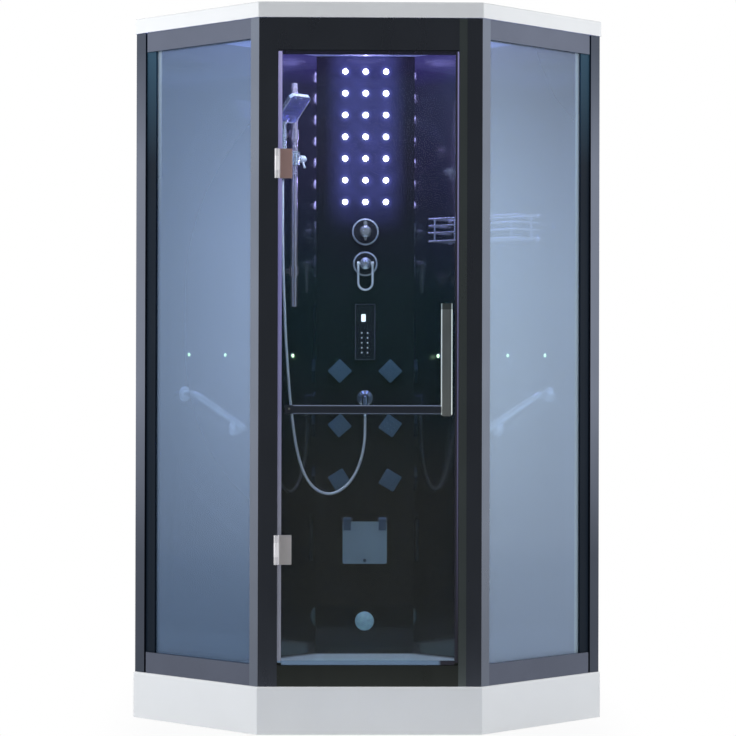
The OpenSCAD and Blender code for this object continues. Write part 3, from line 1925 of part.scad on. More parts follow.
module foot_rest() {
  color(BLUE)
    translate([0, column_y - rest_hinge_n, rest_z])
      difference() {
        union() {
          translate([0, rest_t / 2, -rest_l / 2 - 8])
            rotate([90, 0, 0])
              linear_extrude(rest_t)
                polygon(rounded(box_points(rest_w, rest_l), 6));
          // Clamps of the hinges and the bumper at the foot
          translate([0, 0, 3 - rest_l])
            rotate([90, 0, 0])
              cylinder(r = 5, h = rest_t / 2 + 4);
          for (x = rest_hinge_x * [-1, 1])
            translate([x - ear_gap / 2 + move_gap, 0, 0]) {
              translate([0, -rest_t / 2 - 2, -36])
                cube([ear_gap - 2 * move_gap, 3, 25]);
              rotate([0, 90, 0]) {
                cylinder(r = 6, h = ear_gap - 2 * move_gap);
                translate([0, -rest_t / 2, 0])
                  cube([10, rest_t, ear_gap - 2 * move_gap]);
              }
            }
        }
        rest_pins(rest_pin_r + run_fit, rest_pin_l + 4);
      }
}

tray();
tray_frame();
levelling_feet();
drain_waste();
drain_grate();
roof_cover();
ceiling_panel();
column_panel();
left_back_wall();
right_back_wall();
wall_posts();
left_corner_post();
right_corner_post();
door_header();
door_sill();
side_top_rails();
side_bottom_rails();
side_glass();
side_channels();
strike_profile();
hinge_leaves();
hinge_pins();
ceiling_light();
rain_head();
fan_housing();
led_lights();
valve_plates();
valve_bodies();
pipework();
control_panel();
jet_bases();
hose_outlet();
outlet_hose_nut();
shower_hose();
riser_rail();
wire_rack();
grab_handles();
foot_rest_brackets();
steam_outlet();
steam_generator();
door_glass();
door_handle();
door_seals();
hinge_clamps();
slider();
slider_knob();
handset_cradle();
hand_shower();
handset_hose_nut();
diverter_knob();
mixer_hub();
mixer_lever();
jet_1();
jet_2();
jet_3();
jet_4();
jet_5();
jet_6();
foot_rest();
fan_rotor();
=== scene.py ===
import math

import bpy
import bmesh
from mathutils import Matrix, Vector


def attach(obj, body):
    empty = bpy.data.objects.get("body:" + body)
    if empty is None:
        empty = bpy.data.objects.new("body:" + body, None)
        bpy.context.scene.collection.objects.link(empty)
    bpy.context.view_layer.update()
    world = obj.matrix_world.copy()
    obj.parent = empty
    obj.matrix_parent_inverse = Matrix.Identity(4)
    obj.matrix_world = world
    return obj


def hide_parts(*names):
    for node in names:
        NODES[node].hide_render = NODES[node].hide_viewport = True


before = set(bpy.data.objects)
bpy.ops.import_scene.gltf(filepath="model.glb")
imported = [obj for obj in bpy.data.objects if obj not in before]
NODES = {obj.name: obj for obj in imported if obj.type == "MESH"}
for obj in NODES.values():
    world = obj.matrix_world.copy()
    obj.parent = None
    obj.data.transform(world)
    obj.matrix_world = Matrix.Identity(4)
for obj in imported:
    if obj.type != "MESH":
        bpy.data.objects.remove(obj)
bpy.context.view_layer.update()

X, Y, Z = range(3)

# The camera, solved from the photograph's own lines
FRONT_Y = -0.53575
CAMERA_PLACE = (-0.142, FRONT_Y - 7.378, 1.048)
CAMERA_TURN = (1.05, 0.22, 0.14)  # yaw, pitch and roll in degrees
CAMERA_REACH = 60
FOCAL_PX = 2520
PHOTO_PX = 736
SENSOR_MM = 36

# Places and sizes of the cabin, in metres, as the CAD has them.
# N is the distance in front of a wall, and BULGE is how far a lens stands out.
COLUMN_Y = 0.36625
INNER_CORNER_Y = 0.52725
LAMP_STEP_X = 0.067
LAMP_XS = (-LAMP_STEP_X, 0.0, LAMP_STEP_X)
LAMP_TOP_Z = 2.054
LAMP_STEP_Z = 0.0715
LAMP_ROWS = 7
LAMP_N = 0.0035
LAMP_R = 0.0088
LAMP_BULGE = 0.002
WALL_LAMP_ALONG = (0.3377, 0.6367, 0.7907)
WALL_LAMP_Z = 1.119
WALL_LAMP_R = 0.0058
WALL_LAMP_BULGE = 0.0015
PANEL_Z = 1.198
PANEL_N = 0.008
PANEL_INNER = (0.0305, 0.0895)  # half width and half height inside the panel's rim
SCREEN_XS = (-0.0125, 0.0015)
SCREEN_ZS = (PANEL_Z + 0.034, PANEL_Z + 0.058)
SCREEN_BULGE = 0.0005
KEY_XS = (-0.011, 0.008)
KEY_TOP_Z = PANEL_Z - 0.003
KEY_STEP_Z = 0.01625
KEY_ROWS = 5
KEY_R = 0.0022
KEY_BULGE = 0.0004
GRIP_LEFT_X = 0.2054
GRIP_CAP_Z = 1.2475
BOSS = (-0.2369, 0.957)
PLATES = ((1.527, 0.0445), (1.422, 0.041))  # height and radius of the valves' plates
PLATE_RIM = 0.006
REST_Z = 0.584
REST_HINGE_X = 0.058
SPRAY_FACING = (0.5, -0.5, -0.707)

# The floor's corners
FLOOR = [(-8, -10, 0), (8, -10, 0), (8, 30, 0), (-8, 30, 0)]

# The hose, with the points that it passes through
HOSE_R = 0.0045
HOSE_SIDES = 24
HOSE_STEPS = 10
HOSE = [
    (0, .338, .918), (0, .338, .885), (-.001, .337, .85), (-.006, .334, .812),
    (-.016, .329, .772), (-.033, .321, .733), (-.057, .31, .7), (-.087, .296, .678),
    (-.119, .281, .671), (-.15, .266, .68), (-.178, .252, .704), (-.199, .24, .74),
    (-.214, .23, .784), (-.225, .221, .832), (-.233, .213, .884), (-.24, .206, .942),
    (-.246, .2, 1.004), (-.251, .195, 1.07), (-.256, .19, 1.14), (-.26, .186, 1.214),
    (-.263, .182, 1.29), (-.266, .178, 1.368), (-.268, .175, 1.446), (-.269, .174, 1.524),
    (-.269, .174, 1.602), (-.269, .174, 1.645), (-.269, .174, 1.68),
]

# The width of a sharp edge between two colours
SHARP = 0.0005


def link(obj):
    bpy.context.scene.collection.objects.link(obj)
    return obj


def make_camera():
    yaw, pitch, roll = map(math.radians, CAMERA_TURN)
    forward = Vector((math.sin(yaw) * math.cos(pitch),
                      math.cos(yaw) * math.cos(pitch),
                      math.sin(pitch)))
    level = Vector((math.cos(yaw), -math.sin(yaw), 0))
    upright = level.cross(forward)
    right = level * math.cos(roll) + upright * math.sin(roll)
    up = upright * math.cos(roll) - level * math.sin(roll)
    place = Matrix((right, up, -forward)).transposed().to_4x4()
    place.translation = Vector(CAMERA_PLACE)
    data = bpy.data.cameras.new("camera")
    data.sensor_width = SENSOR_MM
    data.lens = FOCAL_PX * SENSOR_MM / PHOTO_PX
    data.clip_end = CAMERA_REACH
    cam = link(bpy.data.objects.new("camera", data))
    cam.matrix_world = place
    bpy.context.scene.camera = cam


make_camera()
bpy.context.scene.view_settings.view_transform = "Standard"


# Building blocks of the materials. t is the node tree that they add to.
def tree(name):
    m = bpy.data.materials.new(name)
    m.use_nodes = True
    m.node_tree.nodes.clear()
    return m, m.node_tree


def closed(m, shader):
    """The material m with shader as its surface."""
    out = m.node_tree.nodes.new("ShaderNodeOutputMaterial")
    m.node_tree.links.new(shader, out.inputs[0])
    return m


def feed(t, value, socket):
    """Gives socket a number, a colour or the output of another node."""
    if isinstance(value, (int, float)):
        socket.default_value = value
    elif isinstance(value, tuple):
        socket.default_value = (*value, 1)
    else:
        t.links.new(value, socket)


def coords(t, scale=(1, 1, 1)):
    c = t.nodes.new("ShaderNodeTexCoord")
    mapping = t.nodes.new("ShaderNodeMapping")
    mapping.inputs["Scale"].default_value = scale
    t.links.new(c.outputs["Object"], mapping.inputs["Vector"])
    return mapping.outputs[0]


def split(t, vector):
    s = t.nodes.new("ShaderNodeSeparateXYZ")
    t.links.new(vector, s.inputs[0])
    return s.outputs


def axes(t):
    """The three object coordinates as separate values."""
    return split(t, coords(t))


def noise(t, vector, scale, detail=3.0, rough=0.55):
    n = t.nodes.new("ShaderNodeTexNoise")
    n.inputs["Scale"].default_value = scale
    n.inputs["Detail"].default_value = detail
    n.inputs["Roughness"].default_value = rough
    t.links.new(vector, n.inputs["Vector"])
    return n.outputs["Fac"]


def span(t, value, low, high, a=0.3, b=0.7, soft=False):
    """value from a to b becomes low to high, and stays there outside."""
    r = t.nodes.new("ShaderNodeMapRange")
    if soft:
        r.interpolation_type = "SMOOTHSTEP"
    for key, number in (("From Min", a), ("From Max", b), ("To Min", low), ("To Max", high)):
        r.inputs[key].default_value = number
    t.links.new(value, r.inputs["Value"])
    return r.outputs[0]


def calc(t, operation, *values):
    n = t.nodes.new("ShaderNodeMath")
    n.operation = operation
    for socket, value in zip(n.inputs, values):
        feed(t, value, socket)
    return n.outputs[0]


def product(t, first, *others):
    for other in others:
        first = calc(t, "MULTIPLY", first, other)
    return first


def length(t, a, b):
    """How long the flat vector (a, b) is."""
    return calc(t, "SQRT", calc(t, "ADD", product(t, a, a), product(t, b, b)))


def dot(t, vector, direction):
    """How far vector goes along direction."""
    d = t.nodes.new("ShaderNodeVectorMath")
    d.operation = "DOT_PRODUCT"
    t.links.new(vector, d.inputs[0])
    d.inputs[1].default_value = direction
    return d.outputs["Value"]


def blend_colour(t, fac, a, b):
    m = t.nodes.new("ShaderNodeMix")
    m.data_type = "RGBA"
    t.links.new(fac, m.inputs[0])
    feed(t, a, m.inputs[6])
    feed(t, b, m.inputs[7])
    return m.outputs[2]


def blend_shader(t, fac, a, b):
    m = t.nodes.new("ShaderNodeMixShader")
    feed(t, fac, m.inputs[0])
    t.links.new(a, m.inputs[1])
    t.links.new(b, m.inputs[2])
    return m.outputs[0]


def bump(t, height, strength, distance):
    b = t.nodes.new("ShaderNodeBump")
    b.inputs["Strength"].default_value = strength
    b.inputs["Distance"].default_value = distance
    t.links.new(height, b.inputs["Height"])
    return b.outputs[0]


def principled(t, colour, rough, metal=0.0, coat=0.0, spec=0.5, coat_rough=0.05, coat_ior=1.5):
    p = t.nodes.new("ShaderNodeBsdfPrincipled")
    p.inputs["Base Color"].default_value = (*colour, 1)
    p.inputs["Roughness"].default_value = rough
    p.inputs["Metallic"].default_value = metal
    p.inputs["Coat Weight"].default_value = coat
    p.inputs["Coat Roughness"].default_value = coat_rough
    p.inputs["Coat IOR"].default_value = coat_ior
    p.inputs["Specular IOR Level"].default_value = spec
    return p


def surface(name, colour, rough, metal=0.0, coat=0.0, spec=0.5, coat_rough=0.05, coat_ior=1.5,
            vary=0.06, smear=0.05, grain=300.0, lift=0.02, stretch=(1, 1, 1), marks=4.0,
            zones=(), painted_glow=None):
    """A finish with broad colour drift, smeared gloss and a fine grain.

    Each of the zones is a place with its own colour, painted light or shade in some finishes.
    The glow is a colour with the function that gives its strength: painted light on the surface.
    """
    m, t = tree(name)
    p = principled(t, colour, rough, metal, coat, spec, coat_rough, coat_ior)
    dark = tuple(c * (1 - vary) for c in colour)
    pale = tuple(min(1, c * (1 + vary)) for c in colour)
    drift = blend_colour(t, span(t, noise(t, coords(t), marks, 4), 0, 1), dark, pale)
    for place, other in zones:
        drift = blend_colour(t, place(t), drift, other)
    t.links.new(drift, p.inputs["Base Color"])
    wipes = noise(t, coords(t, (1, 1, 0.35)), marks * 3.1, 5, 0.6)
    gloss = span(t, wipes, max(0.01, rough - smear), min(1, rough + smear))
    t.links.new(gloss, p.inputs["Roughness"])
    fine = noise(t, coords(t, stretch), grain, 2)
    t.links.new(bump(t, fine, lift, 0.001), p.inputs["Normal"])
    # The glow paints light onto a surface that is no lamp.
    if painted_glow:
        light, strength = painted_glow
        feed(t, light, p.inputs["Emission Color"])
        feed(t, strength(t), p.inputs["Emission Strength"])
    return closed(m, p.outputs[0])


# Kinds of places on a piece. Each is a function of t that gives 1 inside and 0 outside.
def past(axis, a, b):
    """Goes from 0 to 1 as an object coordinate goes from a to b."""
    return lambda t: span(t, axes(t)[axis], 0, 1, a, b)


def above(axis, at):
    return past(axis, at, at + SHARP)


def below(axis, at):
    return past(axis, at, at - SHARP)


def both(first, second):
    return lambda t: product(t, first(t), second(t))


def beyond(a, b):
    """Goes from 0 to 1 between a and b to either side of the cabin's middle plane."""
    return lambda t: span(t, calc(t, "ABSOLUTE", axes(t)[X]), 0, 1, a, b)


def near(t, value, middle, half):
    """Gives 1 where value is within half of middle."""
    gap = calc(t, "ABSOLUTE", calc(t, "SUBTRACT", value, middle))
    return span(t, gap, 1, 0, half - 0.0002, half + 0.0002)


def bands(middle, half):
    """The two upright bands at middle to either side of the cabin's middle plane."""
    return lambda t: near(t, calc(t, "ABSOLUTE", axes(t)[X]), middle, half)


def layer(direction, middle, half):
    """The layer of space within half of middle, measured from the origin along direction."""
    return lambda t: near(t, dot(t, coords(t), direction), middle, half)


def spot(u, v, at, inner, outer):
    """A round spot at the point at, seen along the axis that is neither u nor v."""
    def place(t):
        a, b = (calc(t, "SUBTRACT", axes(t)[axis], c) for axis, c in zip((u, v), at))
        return span(t, length(t, a, b), 1, 0, inner, outer, soft=True)
    return place


def facing(direction, a=0.97, b=0.99):
    """Where the surface looks along direction, from not at all at a to fully at b."""
    def place(t):
        c = t.nodes.new("ShaderNodeTexCoord")
        return span(t, dot(t, c.outputs["Normal"], direction), 0, 1, a, b)
    return place


# The places themselves
inside = facing((0, -1, 0), 0.1, 0.3)
# The tray's basin, where a faint teal glow of painted light lies
basin = both(spot(X, Y, (0, 0.02), 0.46, 0.52), past(Z, 0.135, 0.125))
# The posts' paler band of painted light
post_painted_light_band = both(past(Z, 0.5, 1.0), past(Z, 2.05, 1.7))
grip_foot = past(Z, 1.1, 0.97)
# The boss's bright spot, a painted highlight
grip_boss_highlight = spot(X, Z, BOSS, 0.002, 0.004)
clamp_upper = past(Z, 1.0, 1.1)
# The clamps' edge, where a painted highlight lies
clamp_edge_highlight = past(X, -0.265, -0.266)
# Bands of the seals; the violet, lavender and latch edge ones hold painted lamp light
seal_violet_light_middle = past(Z, 0.6, 1.4)
seal_lavender_light_top = past(Z, 1.4, 2.0)
seal_foot = past(Z, 0.219, 0.218)
seal_latch = past(X, 0.2, 0.21)
seal_latch_light_edge = both(above(X, 0.2545), past(Z, 0.3, 2.0))
rest_tabs = both(above(Z, REST_Z - 0.037), bands(REST_HINGE_X, 0.0125))
rest_bumper = spot(X, Z, (0, REST_Z - 0.135), 0.0055, 0.006)
spray_face = facing(SPRAY_FACING)
spray_plate = both(layer((0.70711, 0.70711, 0), -0.0669, 0.0405),
                   layer((0.5, -0.5, 0.70711), 1.1604, 0.0515))


def spray_rim(t):
    """The face of the hand shower round its spray plate."""
    return calc(t, "GREATER_THAN", spray_face(t), spray_plate(t))


def plate_face(z, r):
    """The face of a valve's plate inside its rim."""
    return spot(X, Z, (0, z), r - PLATE_RIM, r - PLATE_RIM + SHARP)


# Strengths of the painted glow, each a function of t
def lit(place, strength):
    """strength inside place and none outside."""
    return lambda t: product(t, strength, place(t))


def ramp(place, low, high):
    """Goes from low to high as place goes from 0 to 1."""
    return lambda t: span(t, place(t), low, high, 0, 1)


def painted_glints(t):
    """Painted highlights: a wandering glow on bright chrome."""
    return span(t, noise(t, coords(t), 30, 3), 0.02, 0.2)


def wall_glow(t):
    """The light of the lamps and of the ceiling on the upper back walls."""
    z = axes(t)[Z]
    from_lamps = span(t, z, 0, 0.012, 1.3, 1.8)
    from_ceiling = span(t, z, 0, 0.13, 2.0, 2.104)
    return product(t, inside(t), calc(t, "ADD", from_lamps, from_ceiling))


def column_glow(t):
    """The light of the lamps on the column: a veil over their field and a ring round each."""
    x, _, z = axes(t)
    aside = calc(t, "ABSOLUTE", x)
    foot = LAMP_TOP_Z - LAMP_STEP_Z * LAMP_ROWS
    wide = span(t, aside, 1, 0, 0.06, 0.142, soft=True)
    high = span(t, z, 0, 1, foot - 0.05, foot + LAMP_STEP_Z * 2, soft=True)
    veil = product(t, wide, high)
    dx = calc(t, "WRAP", x, LAMP_STEP_X / 2, -LAMP_STEP_X / 2)
    dz = calc(t, "WRAP", calc(t, "SUBTRACT", z, LAMP_TOP_Z), LAMP_STEP_Z / 2, -LAMP_STEP_Z / 2)
    ring = product(t, span(t, length(t, dx, dz), 1, 0, 0.009, 0.026, soft=True),
                   span(t, aside, 1, 0, 0.085, 0.1), span(t, z, 0, 1, 1.59, 1.60))
    light = calc(t, "ADD", product(t, veil, 0.2), product(t, ring, 0.2))
    clouds = span(t, noise(t, coords(t), 22, 4), 0.7, 1.15)
    return product(t, light, clouds, inside(t))


# Materials of their own kind
def glow(name, colour, strength, dim=0.35):
    """A lit lens with fine grains in its cover, which dim it by up to the share dim."""
    m, t = tree(name)
    p = principled(t, (0.7, 0.72, 0.78), 0.18, coat=0.6)
    grains = noise(t, coords(t), 900, 2)
    feed(t, colour, p.inputs["Emission Color"])
    t.links.new(span(t, grains, strength * (1 - dim), strength), p.inputs["Emission Strength"])
    t.links.new(bump(t, grains, 0.03, 0.0006), p.inputs["Normal"])
    return closed(m, p.outputs[0])


def glass(name, shade, veil, rough, spec, tint):
    """Glass that lets through what is behind it, under a veil whose colour is shade(t)."""
    m, t = tree(name)
    clear = t.nodes.new("ShaderNodeBsdfTransparent")
    feed(t, tint, clear.inputs[0])
    p = principled(t, (0.5, 0.5, 0.5), rough, spec=spec)
    streaks = noise(t, coords(t, (1, 1, 0.15)), 9, 4)
    t.links.new(shade(t), p.inputs["Base Color"])
    t.links.new(span(t, streaks, max(0.01, rough - 0.02), rough + 0.03), p.inputs["Roughness"])
    t.links.new(bump(t, streaks, 0.01, 0.001), p.inputs["Normal"])
    return closed(m, blend_shader(t, veil, clear.outputs[0], p.outputs[0]))


def door_veil_painted_light(t):
    """Near black, with painted light: warm at the foot, greenish at waist height and violet
    under the lamps.
    """
    clouds = span(t, noise(t, coords(t), 3, 3), -0.25, 0.25, 0, 1)
    height = calc(t, "ADD", axes(t)[Z], clouds)
    warm, greenish, violet = (0.17, 0.18, 0.15), (0.04, 0.12, 0.11), (0.1, 0.06, 0.17)
    low = blend_colour(t, span(t, height, 0, 1, 0.7, 1.1), warm, greenish)
    return blend_colour(t, span(t, height, 0, 1, 1.3, 1.7), low, violet)


def pane_milk_and_painted_light(t):
    """Milky blue, with painted light: palest at chest height near the door, and paler on the
    right than on the left.

    A paler strip of painted highlight runs along each pane's outer edge, on the left pane at its
    top only.
    """
    x, _, z = axes(t)
    rise = span(t, z, 0, 1, 0.15, 1.15, soft=True)
    fall = span(t, z, 1, 0.35, 1.3, 2.1, soft=True)
    inward = span(t, calc(t, "ABSOLUTE", x), 1.02, 0.36, 0.35, 0.65)
    pale = product(t, inward, rise, fall)
    left = blend_colour(t, pale, (0.15, 0.23, 0.36), (0.42, 0.56, 0.78))
    dim = blend_colour(t, span(t, z, 0, 1, 1.3, 1.9), (0.42, 0.525, 0.68), (0.24, 0.3, 0.4))
    right = blend_colour(t, pale, dim, (0.67, 0.83, 1.0))
    on_right = span(t, x, 0, 1, -0.1, 0.1)
    milk = blend_colour(t, on_right, left, right)
    strip = calc(t, "MAXIMUM", on_right, span(t, z, 0, 0.8, 1.5, 2.0))
    edge = product(t, beyond(0.631, 0.635)(t), strip)
    return blend_colour(t, edge, milk, (0.6, 0.75, 0.87))


def wound_strip():
    """A spiral metal strip with joints running round it, read along the tube's own length."""
    m, t = tree("wound_strip")
    p = principled(t, (0.8, 0.82, 0.85), 0.3, metal=0.35)
    c = t.nodes.new("ShaderNodeTexCoord")
    wave = t.nodes.new("ShaderNodeTexWave")
    wave.wave_type = "BANDS"
    wave.bands_direction = "Y"
    wave.inputs["Scale"].default_value = 95
    wave.inputs["Distortion"].default_value = 0
    t.links.new(c.outputs["UV"], wave.inputs["Vector"])
    joints = wave.outputs["Fac"]
    colour = blend_colour(t, joints, (0.75, 0.75, 0.76), (1.0, 0.99, 0.98))
    t.links.new(colour, p.inputs["Base Color"])
    t.links.new(span(t, noise(t, coords(t), 60, 3), 0.28, 0.4), p.inputs["Roughness"])
    t.links.new(bump(t, joints, 0.25, 0.0006), p.inputs["Normal"])
    return closed(m, p.outputs[0])


# What several finishes share
ACRYLIC = {"coat": 0.5, "vary": 0.015, "grain": 120, "lift": 0.01}
DRAWN = {"stretch": (40, 40, 1), "grain": 26, "lift": 0.05, "smear": 0.04}
POLISHED = {"vary": 0.02, "grain": 180, "lift": 0.012, "marks": 9}
BRUSHED = {"stretch": (1, 1, 30), "grain": 60}
SATIN = {"metal": 0.15, "coat": 0.2, "vary": 0.1, "grain": 260, "lift": 0.05}
GLOSS_BLACK = (0.010, 0.012, 0.017)
PANEL_RIM = (0.12, 0.11, 0.15)

FINISHES = {
    # The basin's faint teal glow is painted light.
    "tray": surface("tray_acrylic", (0.84, 0.86, 0.88), 0.2, **ACRYLIC,
                    painted_glow=((0, 0.8, 1.0), lit(basin, 0.05))),
    "roof": surface("roof_acrylic", (0.85, 0.87, 0.89), 0.22, **ACRYLIC),
    # The ceiling's paler cyan sides, and the violet glow that grows towards them, are painted
    # lamp light.
    "ceiling": surface("ceiling_acrylic", (0.7, 0.7, 0.76), 0.3, coat=0.4, vary=0.02,
                       zones=[(beyond(0.27, 0.31), (0.75, 0.95, 1.0))],
                       painted_glow=((0.28, 0.34, 1.0), ramp(beyond(0.27, 0.35), 0.31, 0.9))),
    "steel": surface("zinc_steel", (0.42, 0.44, 0.46), 0.42, metal=0.9, vary=0.15,
                     grain=90, lift=0.08, marks=14),
    "foot": surface("foot_plastic", (0.03, 0.03, 0.032), 0.55, grain=700, lift=0.08),
    "waste": surface("waste_plastic", (0.6, 0.61, 0.63), 0.4, grain=500, lift=0.04),
    "black": surface("black_glass", GLOSS_BLACK, 0.1, coat=1.0, coat_rough=0.09, coat_ior=1.9,
                     vary=0.2, smear=0.02, lift=0.006, grain=60,
                     painted_glow=((0.2, 0.13, 1.0), wall_glow)),
    "column": surface("column_black", GLOSS_BLACK, 0.1, coat=0.3, vary=0.2, smear=0.03,
                      lift=0.01, grain=60, painted_glow=((0.21, 0.225, 1.0), column_glow)),
    "dark": surface("dark_anodised", (0.225, 0.255, 0.32), 0.3, metal=1.0, vary=0.05, **DRAWN),
    "sill": surface("sill_anodised", (0.15, 0.17, 0.16), 0.3, metal=1.0, vary=0.05, **DRAWN),
    "strike": surface("strike_anodised", (0.36, 0.43, 0.44), 0.3, metal=1.0, vary=0.05, **DRAWN),
    "grey": surface("grey_anodised", (0.165, 0.186, 0.25), 0.34, metal=1.0, **DRAWN),
    # The posts are paler from 1 m to 1.7 m, fading out below and above: painted light.
    "post": surface("post_anodised", (0.09, 0.105, 0.14), 0.34, metal=1.0, **DRAWN,
                    zones=[(post_painted_light_band, (0.2, 0.225, 0.29))]),
    # The channel's near black stands for the shade in its recess, and its bluer top for the
    # lamps' light: painted shade and painted light.
    "channel": surface("black_channel", (0.006, 0.012, 0.022), 0.5, spec=0.12, **DRAWN,
                       zones=[(past(Z, 1.7, 2.06), (0.03, 0.075, 0.12))]),
    "chrome": surface("chrome", (0.8, 0.82, 0.86), 0.08, metal=1.0, smear=0.03, **POLISHED),
    # Bright chrome, with a wandering glow of painted highlights.
    "bright": surface("bright_chrome", (0.9, 0.93, 0.97), 0.18, metal=0.6, **POLISHED,
                      painted_glow=((0.75, 0.88, 1.0), painted_glints)),
    "knob": surface("knob_chrome", (0.95, 0.97, 1.0), 0.1, metal=0.82, **POLISHED),
    # The plates' faces inside their rims are near black: a painted dark reflection on the
    # chrome.
    "plate": surface("plate_chrome", (0.85, 0.88, 0.93), 0.15, metal=0.7, **POLISHED,
                     zones=[(plate_face(z, r), (0.07, 0.07, 0.09)) for z, r in PLATES]),
    # The rail's pink-violet tint, warmer from 1.65 m down, is a painted reflection on the
    # chrome.
    "rail": surface("rail_chrome", (0.9, 0.76, 0.84), 0.24, metal=0.86, **POLISHED,
                    zones=[(past(Z, 1.65, 1.5), (0.82, 0.68, 0.65))]),
    # The wire's lavender tint, and its glow past 0.35 m to the right behind the side pane, are
    # painted light.
    "rack": surface("rack_wire", (0.74, 0.72, 0.9), 0.2, metal=0.8, **POLISHED,
                    painted_glow=((0.75, 0.82, 1.0), ramp(past(X, 0.35, 0.37), 0.01, 0.22))),
    # The spray plate is violet-blue; the glow on the rim round it is a painted highlight.
    "handset": surface("handset_chrome", (0.8, 0.82, 0.86), 0.1, metal=0.8, **POLISHED,
                       zones=[(both(spray_face, spray_plate), (0.42, 0.42, 0.95))],
                       painted_glow=((0.75, 0.75, 1.0), lit(spray_rim, 0.2))),
    "smoke": surface("smoked_chrome", (0.16, 0.18, 0.21), 0.16, metal=1.0, vary=0.04,
                     grain=180, lift=0.02, marks=9),
    "leaf": surface("hinge_leaf", (0.85, 0.84, 0.86), 0.3, metal=0.25, vary=0.03, lift=0.05,
                    **BRUSHED),
    # The clamps' white edge and its glow are a painted highlight, and the upper clamps' copper
    # tint is a painted reflection.
    "clamp": surface("hinge_satin", (0.5, 0.48, 0.48), 0.32, metal=0.3, lift=0.06, marks=12,
                     **BRUSHED,
                     zones=[(clamp_upper, (0.44, 0.29, 0.27)), (clamp_edge_highlight, (0.95, 0.93, 0.96))],
                     painted_glow=((1.0, 0.97, 1.0), ramp(clamp_edge_highlight, 0, 0.12))),
    "fan": surface("fan_plastic", (0.72, 0.73, 0.76), 0.42, grain=500, lift=0.05),
    "rotor": surface("rotor_plastic", (0.09, 0.09, 0.1), 0.45, grain=500, lift=0.05),
    "brass": surface("valve_brass", (0.5, 0.36, 0.14), 0.36, metal=1.0, vary=0.12,
                     grain=400, lift=0.1, marks=20),
    "pipe": surface("pipe_steel", (0.5, 0.5, 0.52), 0.3, metal=1.0, grain=200, lift=0.05,
                    marks=12),
    "panel": surface("panel_black", (0.018, 0.016, 0.026), 0.12, coat=0.6, vary=0.1,
                     grain=200, lift=0.01,
                     zones=[(beyond(PANEL_INNER[0], PANEL_INNER[0] + SHARP), PANEL_RIM),
                            (above(Z, PANEL_Z + PANEL_INNER[1]), PANEL_RIM),
                            (below(Z, PANEL_Z - PANEL_INNER[1]), (0.1, 0.09, 0.13))]),
    "jet": surface("jet_satin", (0.105, 0.17, 0.235), 0.34, **SATIN),
    "rest": surface("rest_satin", (0.36, 0.46, 0.52), 0.34, **SATIN,
                    zones=[(rest_tabs, (0.1, 0.15, 0.22)), (rest_bumper, (0.08, 0.11, 0.14))]),
    "steam": surface("steam_dome", (0.6, 0.88, 1.0), 0.3, metal=0.1, coat=0.3, vary=0.14,
                     marks=90),
    "boiler": surface("boiler_steel", (0.5, 0.51, 0.53), 0.35, metal=1.0, stretch=(1, 1, 40),
                      grain=40, lift=0.06),
    # The seals are painted violet from waist height and pale lavender at the top and along the
    # latch side's edge: painted lamp light. They are bluer at the foot and near black on the
    # latch side.
    "seal": surface("seal_vinyl", (0.3, 0.31, 0.38), 0.35, vary=0.08, grain=400, lift=0.04,
                    zones=[(seal_violet_light_middle, (0.29, 0.28, 0.66)),
                           (seal_lavender_light_top, (0.6, 0.56, 1.0)),
                           (seal_foot, (0.17, 0.27, 0.41)),
                           (seal_latch, (0.03, 0.03, 0.045)),
                           (seal_latch_light_edge, (0.42, 0.4, 0.8))]),
    "bezel": surface("lamp_bezel", (0.5, 0.5, 0.6), 0.2, metal=0.7, vary=0.05),
    "lamp": glow("lamp_lens", (0.5, 0.45, 1.0), 34.0),
    "wall_lamp": glow("wall_lamp_lens", (0.6, 1.0, 0.45), 3.4),
    "ceiling_lens": glow("ceiling_lens", (0.6, 0.58, 1.0), 0.6),
    "screen": glow("screen", (0.85, 0.9, 1.0), 1.6, dim=0.15),
    "key": glow("key_mark", (0.7, 0.74, 0.82), 0.45, dim=0.2),
    "strip": wound_strip(),
    # The towel bar, left of the grip, is painted darker as shade, and the boss's bright spot is
    # a painted highlight. The grip is paler at its foot and darker at its cap.
    "handle": surface("handle_metal", (0.79, 0.92, 0.95), 0.34, metal=1.0, vary=0.05,
                      grain=60, lift=0.05, stretch=(8, 8, 1), marks=9,
                      zones=[(grip_foot, (0.9, 1.0, 1.0)),
                             (above(Z, GRIP_CAP_Z), (0.36, 0.44, 0.46)),
                             (below(X, GRIP_LEFT_X), (0.2, 0.24, 0.32)),
                             (grip_boss_highlight, (0.95, 1.0, 0.98))]),
    "door_glass": glass("door_glass", door_veil_painted_light, 0.06, 0.02, 0.4, (0.93, 0.96, 0.97)),
    "side_glass": glass("side_glass", pane_milk_and_painted_light, 0.42, 0.08, 0.5, (0.78, 0.86, 0.95)),
}

